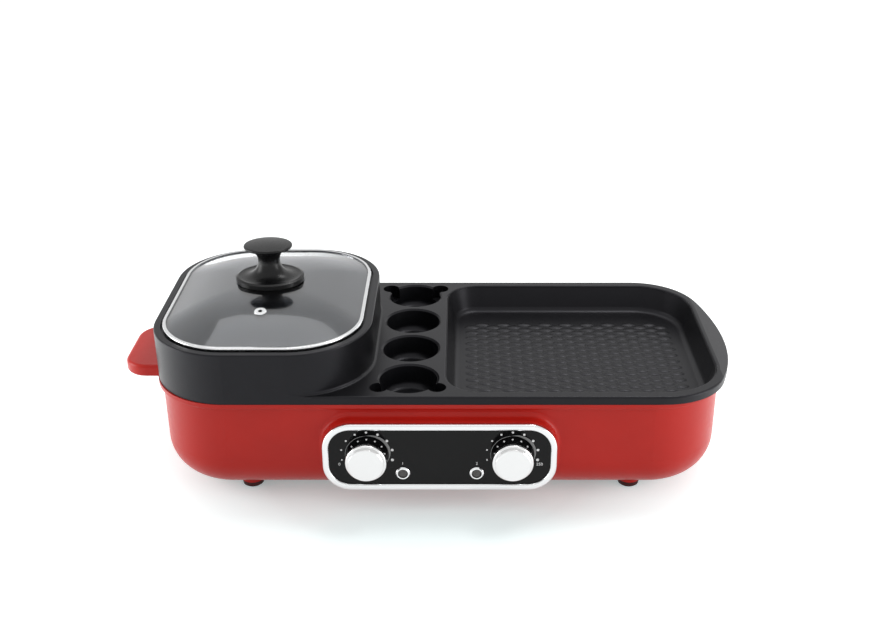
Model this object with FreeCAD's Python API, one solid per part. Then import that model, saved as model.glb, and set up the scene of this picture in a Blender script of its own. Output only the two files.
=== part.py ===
import FreeCAD, Part
import math
import os

# Countertop cooker with a pot, four egg cups and a griddle in one cast plate.
# Millimetres, +Z up, +X from the pot to the griddle, -Y towards the knobs.
# The shapes are drawn about the middle of the housing at table level, and are
# moved on export so that the origin is the middle of the whole footprint.

V = FreeCAD.Vector
X_AXIS = V(1, 0, 0)
Y_AXIS = V(0, 1, 0)
Z_AXIS = V(0, 0, 1)

# ---------------------------------------------------------------- clearances
SEAT_GAP = 0.3          # a lift-off piece over what it rests on
FIT_GAP = 0.2           # a fixed piece in its opening
SCREW_GAP = 0.05        # a screw's shank in its hole
SHAFT_GAP = 0.05        # a turning shaft in its bush
KNOB_GAP = 0.8          # the back of a knob over the fascia
CUT = 1.0               # how far a cutter runs past a face
TOUCH = 0.01            # how near an edge lies to the outline that selects it

# ---------------------------------------------------------------- housing
FOOT_HEIGHT = 6.0
HOUSING_LENGTH = 548.0
HOUSING_DEPTH = 258.0
HOUSING_CORNER = 70.0
HOUSING_HEIGHT = 104.5
HOUSING_WALL = 3.0
BOTTOM_EDGE = 40.0      # radius that rolls the walls under
LIP_OVERHANG = 4.0
LIP_THICKNESS = 4.0
LIP_COVE = 3.8
FLARE_GAIN = 1.0        # how much thicker the wall grows behind the lip
GRIP_REACH = 43.0       # left grip, beyond the lip
GRIP_WIDTH = 94.0
GRIP_THICKNESS = 13.0
GRIP_CORNER = 24.0
GRIP_EDGE = 3.5
GRIP_DROP = 0.2         # top of the grip under the lip's underside
GRIP_WALL = 3.0

# ---------------------------------------------------------------- feet, cover
FOOT_INSET_X = 86.0     # feet in from the housing's ends
FOOT_INSET_Y = 34.0
FOOT_RADIUS = 11.0
FOOT_DRAFT = 1.0
FOOT_EDGE = 1.2
FOOT_RECESS_RADIUS = 4.6
FOOT_RECESS_DEPTH = 3.4
FOOT_BOSS_RADIUS = 11.0
FOOT_BOSS_RISE = 9.0
FOOT_SCREW_LENGTH = 11.0
COVER_INSET_X = 109.0   # cover in from the housing's ends
COVER_INSET_Y = 54.0
COVER_CORNER = 16.0
COVER_THICKNESS = 1.2
COVER_LEDGE = 9.0
COVER_BOSS_GAP = 1.0    # bosses over the cover
COVER_BOSS_HEIGHT = 7.0
COVER_BOSS_RADIUS = 4.0
COVER_SCREW_LENGTH = 7.5
COVER_SCREW_SPAN = 200.0
VENT_COUNT = 7
VENT_PITCH = 11.0
VENT_WIDTH = 4.0
VENT_LENGTH = 44.0
SCREW_RADIUS = 1.75
SCREW_HEAD_RADIUS = 3.5
SCREW_HEAD_HEIGHT = 2.0

# ---------------------------------------------------------------- plate
BAND_HEIGHT = 8.0       # the plate's edge above the lip
DECK_THICKNESS = 4.0
BAND_WALL = 6.0
BAND_EDGE = 2.2
PLATE_POT_CORNER = 77.0
PLATE_GRIDDLE_CORNER = 67.0
CAST_WALL = 3.5
BEVEL_SHARE = 0.6       # bevel under a rounded floor, as a share of that radius
BOWL_GAP = 1.2          # cast bowls clear of the housing's inner wall
POT_LENGTH = 212.0
POT_BACK_SETBACK = 7.0  # pot's rear wall in from the plate's rear edge
POT_RIM_HEIGHT = 43.5   # above the deck
POT_RIM_EDGE = 1.6
POT_FOOT_COVE = 3.0
POT_SKIRT = 3.5
POT_MOUTH_INSET = 6.6   # rim width round the lid
LID_LEDGE_DEPTH = 3.4
LID_LEDGE_WIDTH = 8.0
POT_DEPTH = 74.0        # from the lid ledge to the floor
POT_DRAFT = 4.0
POT_FLOOR_EDGE = 16.0
CUP_COUNT = 4
CUP_SIDE_MARGIN = 9.1   # outer cups in from the plate's edge
CUP_WEB = 7.4           # metal between two cups
CUP_DEPTH = 24.0
CUP_DRAFT = 2.0
CUP_FLOOR_EDGE = 7.0
CUP_MOUTH_EDGE = 1.6
NOTCH_RADIUS = 9.0
NOTCH_REACH = 4.8       # its centre beyond the cup's edge
NOTCH_ANGLE = 33.5      # degrees from the plate's length
NOTCH_DEPTH = 14.0
GRIDDLE_LEFT = 5.5
GRIDDLE_END_MARGIN = 7.2
GRIDDLE_SIDE_MARGIN = 11.2
GRIDDLE_DEPTH = 28.0
GRIDDLE_DRAFT = 8.0
GRIDDLE_LEFT_CORNER = 34.0
GRIDDLE_RIGHT_CORNER = 58.0
GRIDDLE_FLOOR_EDGE = 7.0
GRIDDLE_MOUTH_EDGE = 1.8
WING_REACH = 14.0       # beyond the lip
WING_BOW_RADIUS = 246.0
WING_DROP = 5.0         # how far its top falls from rim to tip
WING_ROOT = 5.0         # of the rim that the slope takes

# ---------------------------------------------------------------- lid
LID_GAP = 2.2           # round the rim ring
LID_RING_HEIGHT = 6.2
LID_RING_WIDTH = 3.2
LID_RING_EDGE = 1.4
GLASS_THICKNESS = 4.0
GLASS_BITE = 2.2        # how far the glass sits into the ring
GLASS_CROWN = 18.0
GLASS_FLAT = 0.5        # level glass inside the ring before the dome starts
GLASS_GAP = 0.1         # round the glass in the ring's slot
DOME_SHARES = ((1.0, 0.0), (0.93, 0.14), (0.7, 0.58), (0.45, 0.87), (0.2, 1.0))
KNOB_FLANGE_RADIUS = 34.0
KNOB_FLANGE_HEIGHT = 5.5
KNOB_NECK_RADIUS = 11.0
KNOB_TOP_RADIUS = 24.2
KNOB_HEIGHT = 39.3
KNOB_OVAL = 0.86        # its depth as a share of its length
KNOB_TOP_THICKNESS = 4.8
KNOB_WAIST_RISE = 13.0
KNOB_TOP_RISE = 1.5
KNOB_TOP_EDGE = 1.6
KNOB_FLANGE_EDGE = 1.2
KNOB_FLANGE_SLOPE = 5.2  # how far out the waist's curve runs at half its height
KNOB_LOW_BEND = 0.3     # of the way up to the waist
KNOB_HIGH_BEND = 0.68   # of the way up to the head
KNOB_FLARE = 0.2        # of the way out to the head
KNOB_SCREW_RADIUS = 2.5
KNOB_SCREW_LENGTH = 20.0
KNOB_HOLE_GAP = 1.0     # round the screw in the glass
KNOB_WASHER_RADIUS = 13.0
KNOB_WASHER_THICKNESS = 1.6
VENT_OFFSET_Y = -68.0   # from the lid's middle
EYELET_RADIUS = 6.0
EYELET_TUBE_RADIUS = 3.4
EYELET_BORE_RADIUS = 2.1
EYELET_FLANGE = 0.9
EYELET_EDGE = 0.5
EYELET_STEP = 1.0       # how much smaller its inner flange is
EYELET_LIFT = 0.12

# ---------------------------------------------------------------- front panel
POD_LENGTH = 222.0
POD_LOW_Z = 24.0
POD_TOP_ROOM = 10.5     # under the lip
POD_CORNER = 27.0
POD_REACH = 12.0        # pod's front, beyond the housing's front wall
POD_BLEND = 5.0
POD_ROOT = 20.0         # how far the pod's walls run back to meet the rolled bottom
POD_FRONT_WALL = 2.5
BEZEL_WIDTH = 6.3
BEZEL_THICKNESS = 5.0
BEZEL_EDGE = 1.9
BEZEL_LAP = 1.6         # bezel's lip over the fascia's edge
FASCIA_THICKNESS = 2.5
DIAL_MARGIN = 42.3      # dials in from the pod's ends
DIAL_RISE = 2.4         # dials above the pod's centre
LAMP_STEP = 33.6        # lamps in from the dials
LAMP_DROP = 17.8        # lamps below the pod's centre
LAMP_RING_RADIUS = 6.8
LAMP_RING_THICKNESS = 1.8
LAMP_RING_EDGE = 0.9
LAMP_TUBE_RADIUS = 5.6
LAMP_LENS_RADIUS = 4.7
LAMP_LENS_LENGTH = 5.0
LAMP_LENS_SETBACK = 0.4
LAMP_TUBE_TAIL = 3.0
LAMP_BODY_LENGTH = 16.0

# ---------------------------------------------------------------- dials
SHAFT_RADIUS = 3.0
SHAFT_FLAT = 1.4
SHAFT_LENGTH = 34.0
SHAFT_GRIP = 10.5       # of the shaft inside the knob
DIAL_RECESS_RADIUS = 7.0
DIAL_RECESS_DEPTH = 3.5
BUSH_RADIUS = 4.9
BUSH_LENGTH = 8.0
NUT_WIDTH = 14.0
NUT_THICKNESS = 3.2
DIAL_HOLE_RADIUS = 9.0
DIAL_NECK_RADIUS = 13.0
DIAL_NECK_LENGTH = 11.5
DIAL_NECK_DRAFT = 1.0
DIAL_CAP_RADIUS = 19.4
DIAL_CAP_LENGTH = 7.5
DIAL_CAP_WALL = 1.2
DIAL_CAP_EDGE = 1.6
DIAL_FACE_RADIUS = 16.9  # raised round face, in front of the cap's skirt
DIAL_FACE_RISE = 3.4
DIAL_FACE_EDGE = 0.6
DIAL_SCALLOP_RADIUS = 28.6  # room for each dial in the bezel's inner edge
THERMOSTAT_WIDTH = 28.0
THERMOSTAT_HEIGHT = 24.0
THERMOSTAT_PLATE = 1.6
THERMOSTAT_STACK_RADIUS = 7.0
THERMOSTAT_STACK_LENGTH = 19.0
THERMOSTAT_BLADE = 0.8
BLADE_WIDTH = 7.0
BLADE_LENGTH = 12.0
BLADE_SETBACK = 4.0     # of the nearer tab, from the back of the stack
BLADE_STEP = 5.0
BLADE_ROOT = 1.0        # of a tab held in the stack

# ---------------------------------------------------------------- heating
TRAY_FLOOR_Z = 60.0
TRAY_RIM_Z = 76.0
TRAY_SHEET = 1.0
TRAY_FLANGE = 24.0
TRAY_END_GAP = 2.0      # flange to the housing's end walls
TRAY_SIDE_GAP = 4.0
TRAY_EDGE = 6.0
POST_SPAN_X = 280.0
POST_WIDTH = 12.0
POST_REACH = 15.0
POST_HEIGHT = 26.0
TRAY_SCREW_LENGTH = 9.0
HEATER_WIDTH = 8.0      # the element is pressed to a flat top over a narrow keel
HEATER_HEIGHT = 6.4
HEATER_SHOULDER = 1.8
HEATER_KEEL = 2.6
HEATER_GAP = 0.6
HEATER_BEND = 14.0      # where a leg turns level
HEATER_TURN = 22.0
POT_HEATER_END_ROOM = 50.0  # loop in from the pot's ends
POT_HEATER_SIDE_ROOM = 18.0  # loop in from the tray's sides
GRIDDLE_HEATER_END_ROOM = 42.5
GRIDDLE_HEATER_SIDE_ROOM = 20.0
GRIDDLE_HEATER_LOOP = 62.0
GRIDDLE_HEATER_MIDDLE = 48.0
HEATER_LEG_GAP = 36.0
HEATER_LEG_Z = 47.0     # lower end of the legs
LEG_GAP = 1.5           # round a leg in the tray's floor
CLAMP_LENGTH = 60.0
CLAMP_WIDTH = 18.0
CLAMP_THICKNESS = 1.5
SUPPORT_WIDTH = 16.0
SUPPORT_THICKNESS = 1.5
SUPPORT_FOOT = 12.0
TERMINAL_RADIUS = 1.6
TERMINAL_STUD = 7.0
TAB_WIDTH = 6.3
TAB_LENGTH = 7.0
TAB_THICKNESS = 0.8
TAB_ROOT = 1.0
CUTOUT_RADIUS = 8.5
CUTOUT_HEIGHT = 7.0
CUTOUT_FLANGE_RADIUS = 11.5
CUTOUT_FLANGE = 1.0
CUTOUT_OFFSET_Y = 45.0

# ---------------------------------------------------------------- mains side
INLET_X = 60.0
INLET_Z = 60.0
INLET_WIDTH = 27.0
INLET_HEIGHT = 20.0
INLET_DEPTH = 22.0
INLET_CHAMFER = 5.0
INLET_FLANGE_LENGTH = 50.0
INLET_FLANGE_HEIGHT = 24.0
INLET_FLANGE_THICKNESS = 1.8
INLET_FLANGE_CORNER = 4.0
INLET_WALL = 2.0
INLET_SOCKET_DEPTH = 17.0
INLET_SCREW_SPAN = 40.0
INLET_SCREW_LENGTH = 4.8
PIN_WIDTH = 4.0
PIN_THICKNESS = 2.0
PIN_PITCH = 7.0
PIN_OFFSET_Z = 2.0
PIN_LENGTH = 14.0
PIN_TAIL = 5.0
BLOCK_LENGTH = 34.0
BLOCK_WIDTH = 18.0
BLOCK_HEIGHT = 16.0
BLOCK_INSET = 65.0      # its middle in from the cover's end
BLOCK_Y = 30.0
BLOCK_POLES = 3
BLOCK_BORE_RADIUS = 2.2

# ---------------------------------------------------------------- derived
ZONES = ("pot", "griddle")
UNDERSIDE_Z = FOOT_HEIGHT
LIP_Z = UNDERSIDE_Z + HOUSING_HEIGHT
LIP_LENGTH = HOUSING_LENGTH + 2 * LIP_OVERHANG
LIP_DEPTH = HOUSING_DEPTH + 2 * LIP_OVERHANG
LIP_CORNER = HOUSING_CORNER + LIP_OVERHANG
FRONT_Y = -HOUSING_DEPTH / 2
REAR_Y = HOUSING_DEPTH / 2
PLATE_Z = LIP_Z + SEAT_GAP
DECK_Z = PLATE_Z + BAND_HEIGHT
FOOT_SPAN_X = HOUSING_LENGTH - 2 * FOOT_INSET_X
FOOT_SPAN_Y = HOUSING_DEPTH - 2 * FOOT_INSET_Y
COVER_LENGTH = HOUSING_LENGTH - 2 * COVER_INSET_X
COVER_DEPTH = HOUSING_DEPTH - 2 * COVER_INSET_Y
BLOCK_X = COVER_LENGTH / 2 - BLOCK_INSET
POT_LEFT = -LIP_LENGTH / 2
POT_RIGHT = POT_LEFT + POT_LENGTH
POT_FRONT = -LIP_DEPTH / 2
POT_BACK = LIP_DEPTH / 2 - POT_BACK_SETBACK
POT_X = (POT_LEFT + POT_RIGHT) / 2
POT_Y = (POT_FRONT + POT_BACK) / 2
RIM_Z = DECK_Z + POT_RIM_HEIGHT
LEDGE_Z = RIM_Z - LID_LEDGE_DEPTH
CUP_RADIUS = (LIP_DEPTH - 2 * CUP_SIDE_MARGIN - (CUP_COUNT - 1) * CUP_WEB) / (2 * CUP_COUNT)
CUP_PITCH = 2 * CUP_RADIUS + CUP_WEB
CUP_X = (POT_RIGHT + GRIDDLE_LEFT) / 2
POT_FLOOR_Z = LEDGE_Z - POT_DEPTH
GRIDDLE_RIGHT = LIP_LENGTH / 2 - GRIDDLE_END_MARGIN
GRIDDLE_LENGTH = GRIDDLE_RIGHT - GRIDDLE_LEFT
GRIDDLE_X = (GRIDDLE_RIGHT + GRIDDLE_LEFT) / 2
GRIDDLE_OPENING_DEPTH = LIP_DEPTH - 2 * GRIDDLE_SIDE_MARGIN
GRIDDLE_FLOOR_Z = DECK_Z - GRIDDLE_DEPTH
LID_Z = LEDGE_Z + SEAT_GAP
LID_INSET = POT_MOUTH_INSET + LID_GAP
GLASS_Z = LID_Z + (LID_RING_HEIGHT - GLASS_THICKNESS) / 2
CROWN_Z = GLASS_Z + GLASS_THICKNESS + GLASS_CROWN
POD_HEIGHT = LIP_Z - LIP_THICKNESS - POD_TOP_ROOM - POD_LOW_Z
POD_CENTRE = POD_LOW_Z + POD_HEIGHT / 2
POD_Y = FRONT_Y - POD_REACH
FASCIA_Y = POD_Y - FASCIA_THICKNESS
DIAL_SPAN = POD_LENGTH - 2 * DIAL_MARGIN
LAMP_SPAN = DIAL_SPAN - 2 * LAMP_STEP
DIAL_Z = POD_CENTRE + DIAL_RISE
LAMP_Z = POD_CENTRE - LAMP_DROP
DIAL_BACK_Y = FASCIA_Y - KNOB_GAP
DIAL_FRONT_Y = DIAL_BACK_Y - DIAL_NECK_LENGTH - DIAL_CAP_LENGTH
TRAY_LENGTH = HOUSING_LENGTH - 2 * (HOUSING_WALL + TRAY_END_GAP + TRAY_FLANGE)
TRAY_DEPTH = HOUSING_DEPTH - 2 * (HOUSING_WALL + TRAY_SIDE_GAP + TRAY_FLANGE)
TRAY_CORNER = HOUSING_CORNER - HOUSING_WALL - TRAY_SIDE_GAP - TRAY_FLANGE
POT_HEATER_LENGTH = POT_LENGTH - 2 * POT_HEATER_END_ROOM
POT_HEATER_DEPTH = TRAY_DEPTH - 2 * POT_HEATER_SIDE_ROOM
GRIDDLE_HEATER_LENGTH = GRIDDLE_LENGTH - 2 * GRIDDLE_HEATER_END_ROOM
GRIDDLE_HEATER_DEPTH = TRAY_DEPTH - 2 * GRIDDLE_HEATER_SIDE_ROOM
POT_HEATER_Z = POT_FLOOR_Z - CAST_WALL - HEATER_GAP - HEATER_HEIGHT / 2
GRIDDLE_HEATER_Z = GRIDDLE_FLOOR_Z - CAST_WALL - HEATER_GAP - HEATER_HEIGHT / 2
ORIGIN_X = (WING_REACH - GRIP_REACH) / 2
ORIGIN_Y = (LIP_DEPTH / 2 + DIAL_FRONT_Y) / 2


# ---------------------------------------------------------------- helpers
def save(name, *solids):
    """Writes one node; several solids make a group of separate pieces."""
    shape = solids[0] if len(solids) == 1 else Part.makeCompound(solids)
    moved = shape.translated(V(-ORIGIN_X, -ORIGIN_Y, 0))
    moved.exportStep("parts/" + name + ".step")


def outline(x0, x1, y0, y1, left, right, z=0.0):
    """A rectangle's wire with one radius at its left corners and one at its right."""
    corners = ((x1, y0, right, 1, -1), (x1, y1, right, 1, 1),
               (x0, y1, left, -1, 1), (x0, y0, left, -1, -1))
    edges = []
    last = V(x0 + left, y0, z)
    for x, y, radius, side_x, side_y in corners:
        centre = V(x - side_x * radius, y - side_y * radius, z)
        along_x = centre + V(0, side_y * radius, 0)
        along_y = centre + V(side_x * radius, 0, 0)
        start, end = (along_x, along_y) if side_x * side_y < 0 else (along_y, along_x)
        middle = centre + V(side_x, side_y, 0) * (radius * math.sqrt(0.5))
        if last.distanceToPoint(start) > TOUCH:
            edges.append(Part.LineSegment(last, start).toShape())
        edges.append(Part.Arc(start, middle, end).toShape())
        last = end
    first = edges[0].valueAt(edges[0].FirstParameter)
    if last.distanceToPoint(first) > TOUCH:
        edges.append(Part.LineSegment(last, first).toShape())
    return Part.Wire(edges)


def plan(centre_x, length, depth, left, right, z=0.0):
    half = length / 2
    return outline(centre_x - half, centre_x + half, -depth / 2, depth / 2, left, right, z)


def prism(wire, height):
    return Part.Face(wire).extrude(V(0, 0, height))


def slab(centre_x, length, depth, corner, z0, z1):
    return prism(plan(centre_x, length, depth, corner, corner, z0), z1 - z0)


def taper(low, high):
    """A solid between two wires of like corners."""
    return Part.makeLoft([low, high], True, True)


def edges_on(shape, wire):
    """The edges of a shape whose middles lie on a wire."""
    found = []
    for edge in shape.Edges:
        middle = edge.valueAt((edge.FirstParameter + edge.LastParameter) / 2)
        if wire.distToShape(Part.Vertex(middle))[0] < TOUCH:
            found.append(edge)
    return found


def round_on(shape, radius, *wires):
    chosen = []
    for wire in wires:
        chosen.extend(edges_on(shape, wire))
    return shape.makeFillet(radius, chosen)


def bevel_on(shape, size, wire):
    return shape.makeChamfer(size, edges_on(shape, wire))


def rod(radius, start, end):
    axis = end - start
    return Part.makeCylinder(radius, axis.Length, start, axis)


def block(x0, x1, y0, y1, z0, z1):
    return Part.makeBox(x1 - x0, y1 - y0, z1 - z0, V(x0, y0, z0))


def tangent_arc(before, corner, after, radius):
    """The start, middle and end of the arc that rounds a corner."""
    into = (corner - before).normalize()
    out = (after - corner).normalize()
    turn = into.getAngle(out)
    reach = radius * math.tan(turn / 2)
    inward = (out - into).normalize()
    middle = corner + inward * (radius / math.cos(turn / 2) - radius)
    return corner - into * reach, middle, corner + out * reach


def turned(points, centre, axis, rounded=False):
    """Revolves a profile of (radius, height) points about an axis through centre.

    A third value in a point breaks its corner: by a chamfer, or where rounded by that radius."""
    sharp = [V(point[0], 0, point[1]) for point in points]
    start, edges = sharp[0], []
    last = start
    for number in range(1, len(points)):
        corner = sharp[number]
        if len(points[number]) > 2:
            size = points[number][2]
            before, after = sharp[number - 1], sharp[(number + 1) % len(points)]
            if rounded:
                first, middle, end = tangent_arc(before, corner, after, size)
                join = Part.Arc(first, middle, end).toShape()
            else:
                first = corner + (before - corner).normalize() * size
                end = corner + (after - corner).normalize() * size
                join = Part.makeLine(first, end)
            edges += [Part.makeLine(last, first), join]
            last = end
        else:
            edges.append(Part.makeLine(last, corner))
            last = corner
    edges.append(Part.makeLine(last, start))
    solid = Part.Face(Part.Wire(edges)).revolve(V(0, 0, 0), Z_AXIS, 360)
    solid.Placement = FreeCAD.Placement(centre, FreeCAD.Rotation(Z_AXIS, axis))
    return solid


def panel_outline(length, height, corner, y):
    """A rounded rectangle in the plane of the front panel."""
    wire = plan(0, length, height, corner, corner)
    wire.Placement = FreeCAD.Placement(V(0, y, POD_CENTRE), FreeCAD.Rotation(X_AXIS, 90))
    return wire


def panel_slab(length, height, corner, front, back):
    return Part.Face(panel_outline(length, height, corner, front)).extrude(V(0, back - front, 0))


def screw(head, direction, length, radius=SCREW_RADIUS, head_radius=SCREW_HEAD_RADIUS):
    """A pan-head screw; head is the point where the head meets the surface."""
    crown = -SCREW_HEAD_HEIGHT
    profile = [(0, length), (radius, length), (radius, 0), (head_radius, 0), (head_radius, crown),
               (0, crown)]
    return turned(profile, head, direction)


def screw_hole(head, direction, length, radius=SCREW_RADIUS):
    return rod(radius + SCREW_GAP, head - direction * CUT, head + direction * (length + CUT))


def route(points, bends):
    """Straight runs joined by tangent arcs, one radius for each corner."""
    edges = []
    last = points[0]
    for before, corner, after, bend in zip(points, points[1:], points[2:], bends):
        start, middle, end = tangent_arc(before, corner, after, bend)
        if last.distanceToPoint(start) > TOUCH:
            edges.append(Part.LineSegment(last, start).toShape())
        edges.append(Part.Arc(start, middle, end).toShape())
        last = end
    edges.append(Part.LineSegment(last, points[-1]).toShape())
    return Part.Wire(edges)


# ---------------------------------------------------------------- housing
def foot_places():
    for x in (-FOOT_SPAN_X / 2, FOOT_SPAN_X / 2):
        for y in (-FOOT_SPAN_Y / 2, FOOT_SPAN_Y / 2):
            yield V(x, y, 0)


def post_places():
    for x in (-POST_SPAN_X / 2, POST_SPAN_X / 2):
        for side in (-1, 1):
            yield V(x, side * (HOUSING_DEPTH / 2 - HOUSING_WALL - POST_REACH / 2), TRAY_RIM_Z)


def cover_screw_places():
    for x in (-COVER_SCREW_SPAN / 2, COVER_SCREW_SPAN / 2):
        for side in (-1, 1):
            yield V(x, side * (COVER_DEPTH - COVER_LEDGE) / 2, UNDERSIDE_Z)


def housing_shell():
    body_line = plan(0, HOUSING_LENGTH, HOUSING_DEPTH, HOUSING_CORNER, HOUSING_CORNER, UNDERSIDE_Z)
    body = round_on(prism(body_line, HOUSING_HEIGHT), BOTTOM_EDGE, body_line)
    lip_low = LIP_Z - LIP_THICKNESS
    lip = slab(0, LIP_LENGTH, LIP_DEPTH, LIP_CORNER, lip_low, LIP_Z)
    flared = body.fuse(lip).removeSplitter()
    crease = body_line.translated(V(0, 0, lip_low - UNDERSIDE_Z))
    return round_on(flared, LIP_COVE, crease)


def housing_hollow():
    length = HOUSING_LENGTH - 2 * HOUSING_WALL
    depth = HOUSING_DEPTH - 2 * HOUSING_WALL
    corner = HOUSING_CORNER - HOUSING_WALL
    floor = UNDERSIDE_Z + HOUSING_WALL
    line = plan(0, length, depth, corner, corner, floor)
    low = round_on(prism(line, LIP_Z + CUT - floor), BOTTOM_EDGE - HOUSING_WALL, line)
    flare = LIP_OVERHANG - FLARE_GAIN
    mouth_z = LIP_Z - LIP_THICKNESS
    foot = plan(0, length, depth, corner, corner, mouth_z - flare)
    wide = plan(0, length + 2 * flare, depth + 2 * flare, corner + flare, corner + flare, mouth_z)
    top = slab(0, length + 2 * flare, depth + 2 * flare, corner + flare, mouth_z, LIP_Z + CUT)
    return low.fuse(taper(foot, wide)).fuse(top)


def grip():
    """The hollow-backed tab that the left hand takes."""
    top = LIP_Z - LIP_THICKNESS - GRIP_DROP
    tip = -LIP_LENGTH / 2 - GRIP_REACH
    root = -HOUSING_LENGTH / 2 + HOUSING_WALL / 2
    half = GRIP_WIDTH / 2
    reach = outline(tip, root + GRIP_CORNER, -half, half, GRIP_CORNER, CUT, top - GRIP_THICKNESS)
    tab = round_on(prism(reach, GRIP_THICKNESS), GRIP_EDGE, reach, reach.translated(Z_AXIS * GRIP_THICKNESS))
    tab = tab.common(block(tip - CUT, root, -half - CUT, half + CUT, 0, LIP_Z))
    inner = outline(tip + GRIP_WALL, root + GRIP_CORNER, -half + GRIP_WALL, half - GRIP_WALL,
                    GRIP_CORNER - GRIP_WALL, CUT, top - GRIP_THICKNESS - CUT)
    pocket = prism(inner, GRIP_THICKNESS + CUT - GRIP_WALL)
    pocket = pocket.cut(block(-HOUSING_LENGTH / 2 - GRIP_WALL, root + 2 * GRIP_CORNER, -half, half, 0, LIP_Z))
    return tab.cut(pocket)


def pod_shell():
    """The red pod that carries the control panel."""
    return panel_slab(POD_LENGTH, POD_HEIGHT, POD_CORNER, POD_Y, FRONT_Y + POD_ROOT)


def pod_hollow():
    wall = HOUSING_WALL
    front = POD_Y + POD_FRONT_WALL
    return panel_slab(POD_LENGTH - 2 * wall, POD_HEIGHT - 2 * wall, POD_CORNER - wall,
                      front, FRONT_Y + POD_ROOT)


def base_housing():
    shell = housing_shell().fuse(pod_shell()).removeSplitter()
    root_line = panel_outline(POD_LENGTH, POD_HEIGHT, POD_CORNER, FRONT_Y)
    upper = [edge for edge in edges_on(shell, root_line)
             if edge.BoundBox.ZMin > POD_CENTRE + POD_HEIGHT / 2 - POD_CORNER - CUT]
    shell = shell.makeFillet(POD_BLEND, upper)
    shell = shell.fuse(grip())
    posts = []
    for place in post_places():
        side = 1 if place.y > 0 else -1
        wall = side * (HOUSING_DEPTH / 2 - HOUSING_WALL / 2)
        inner = side * (HOUSING_DEPTH / 2 - HOUSING_WALL - POST_REACH)
        posts.append(block(place.x - POST_WIDTH / 2, place.x + POST_WIDTH / 2, min(wall, inner),
                           max(wall, inner), TRAY_RIM_Z - POST_HEIGHT, TRAY_RIM_Z))
    bosses = []
    for place in foot_places():
        bosses.append(rod(FOOT_BOSS_RADIUS, place + Z_AXIS * UNDERSIDE_Z,
                          place + Z_AXIS * (UNDERSIDE_Z + FOOT_BOSS_RISE)))
    for place in cover_screw_places():
        seat = place + Z_AXIS * (COVER_THICKNESS + COVER_BOSS_GAP)
        bosses.append(rod(COVER_BOSS_RADIUS, seat, seat + Z_AXIS * COVER_BOSS_HEIGHT))
    hollow = housing_hollow().fuse(pod_hollow())
    housing = shell.cut(hollow).fuse(posts + bosses)
    inner_length = COVER_LENGTH - 2 * COVER_LEDGE
    inner_depth = COVER_DEPTH - 2 * COVER_LEDGE
    hatch = slab(0, inner_length, inner_depth, COVER_CORNER - COVER_LEDGE, -CUT,
                 UNDERSIDE_Z + HOUSING_WALL + CUT)
    rebate = slab(0, COVER_LENGTH + 2 * FIT_GAP, COVER_DEPTH + 2 * FIT_GAP, COVER_CORNER,
                  UNDERSIDE_Z - CUT, UNDERSIDE_Z + COVER_THICKNESS)
    for boss in bosses:
        hatch = hatch.cut(boss)
    housing = housing.cut(hatch).cut(rebate)
    holes = [screw_hole(place + Z_AXIS * UNDERSIDE_Z, Z_AXIS, FOOT_SCREW_LENGTH - FOOT_RECESS_DEPTH)
             for place in foot_places()]
    holes += [screw_hole(place, Z_AXIS, COVER_SCREW_LENGTH) for place in cover_screw_places()]
    holes += [screw_hole(place, -Z_AXIS, TRAY_SCREW_LENGTH) for place in post_places()]
    holes += [screw_hole(place, -Y_AXIS, INLET_SCREW_LENGTH) for place in inlet_screw_places()]
    holes.append(inlet_block(INLET_WIDTH, INLET_HEIGHT, INLET_CHAMFER, REAR_Y - 2 * HOUSING_WALL,
                             REAR_Y + CUT, FIT_GAP))
    for x in (-DIAL_SPAN / 2, DIAL_SPAN / 2):
        holes.append(rod(BUSH_RADIUS + FIT_GAP, V(x, POD_Y - CUT, DIAL_Z), V(x, FRONT_Y, DIAL_Z)))
    for x in (-LAMP_SPAN / 2, LAMP_SPAN / 2):
        holes.append(rod(LAMP_TUBE_RADIUS + FIT_GAP, V(x, POD_Y - CUT, LAMP_Z), V(x, FRONT_Y, LAMP_Z)))
    return housing.cut(holes)


def feet():
    bore = SCREW_RADIUS + FIT_GAP
    profile = [(FOOT_RECESS_RADIUS, 0), (FOOT_RADIUS - FOOT_DRAFT, 0, FOOT_EDGE),
               (FOOT_RADIUS, FOOT_HEIGHT), (bore, FOOT_HEIGHT), (bore, FOOT_RECESS_DEPTH),
               (FOOT_RECESS_RADIUS, FOOT_RECESS_DEPTH)]
    for number, place in enumerate(foot_places(), 1):
        save("foot_%d" % number, turned(profile, place, Z_AXIS))
    heads = [place + Z_AXIS * FOOT_RECESS_DEPTH for place in foot_places()]
    save("foot_screws", *[screw(head, Z_AXIS, FOOT_SCREW_LENGTH) for head in heads])


def bottom_cover():
    top = UNDERSIDE_Z + COVER_THICKNESS
    cover = slab(0, COVER_LENGTH, COVER_DEPTH, COVER_CORNER, UNDERSIDE_Z, top)
    cuts = [screw_hole(place, Z_AXIS, COVER_THICKNESS, SCREW_RADIUS + FIT_GAP)
            for place in cover_screw_places()]
    first = -VENT_PITCH * (VENT_COUNT - 1) / 2
    for group in (-COVER_LENGTH / 4, COVER_LENGTH / 4):
        for number in range(VENT_COUNT):
            x = group + first + number * VENT_PITCH
            cuts.append(block(x - VENT_WIDTH / 2, x + VENT_WIDTH / 2, -VENT_LENGTH / 2, VENT_LENGTH / 2,
                              UNDERSIDE_Z - CUT, top + CUT))
    save("bottom_cover", cover.cut(cuts))
    save("bottom_cover_screws",
         *[screw(place, Z_AXIS, COVER_SCREW_LENGTH) for place in cover_screw_places()])


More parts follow.
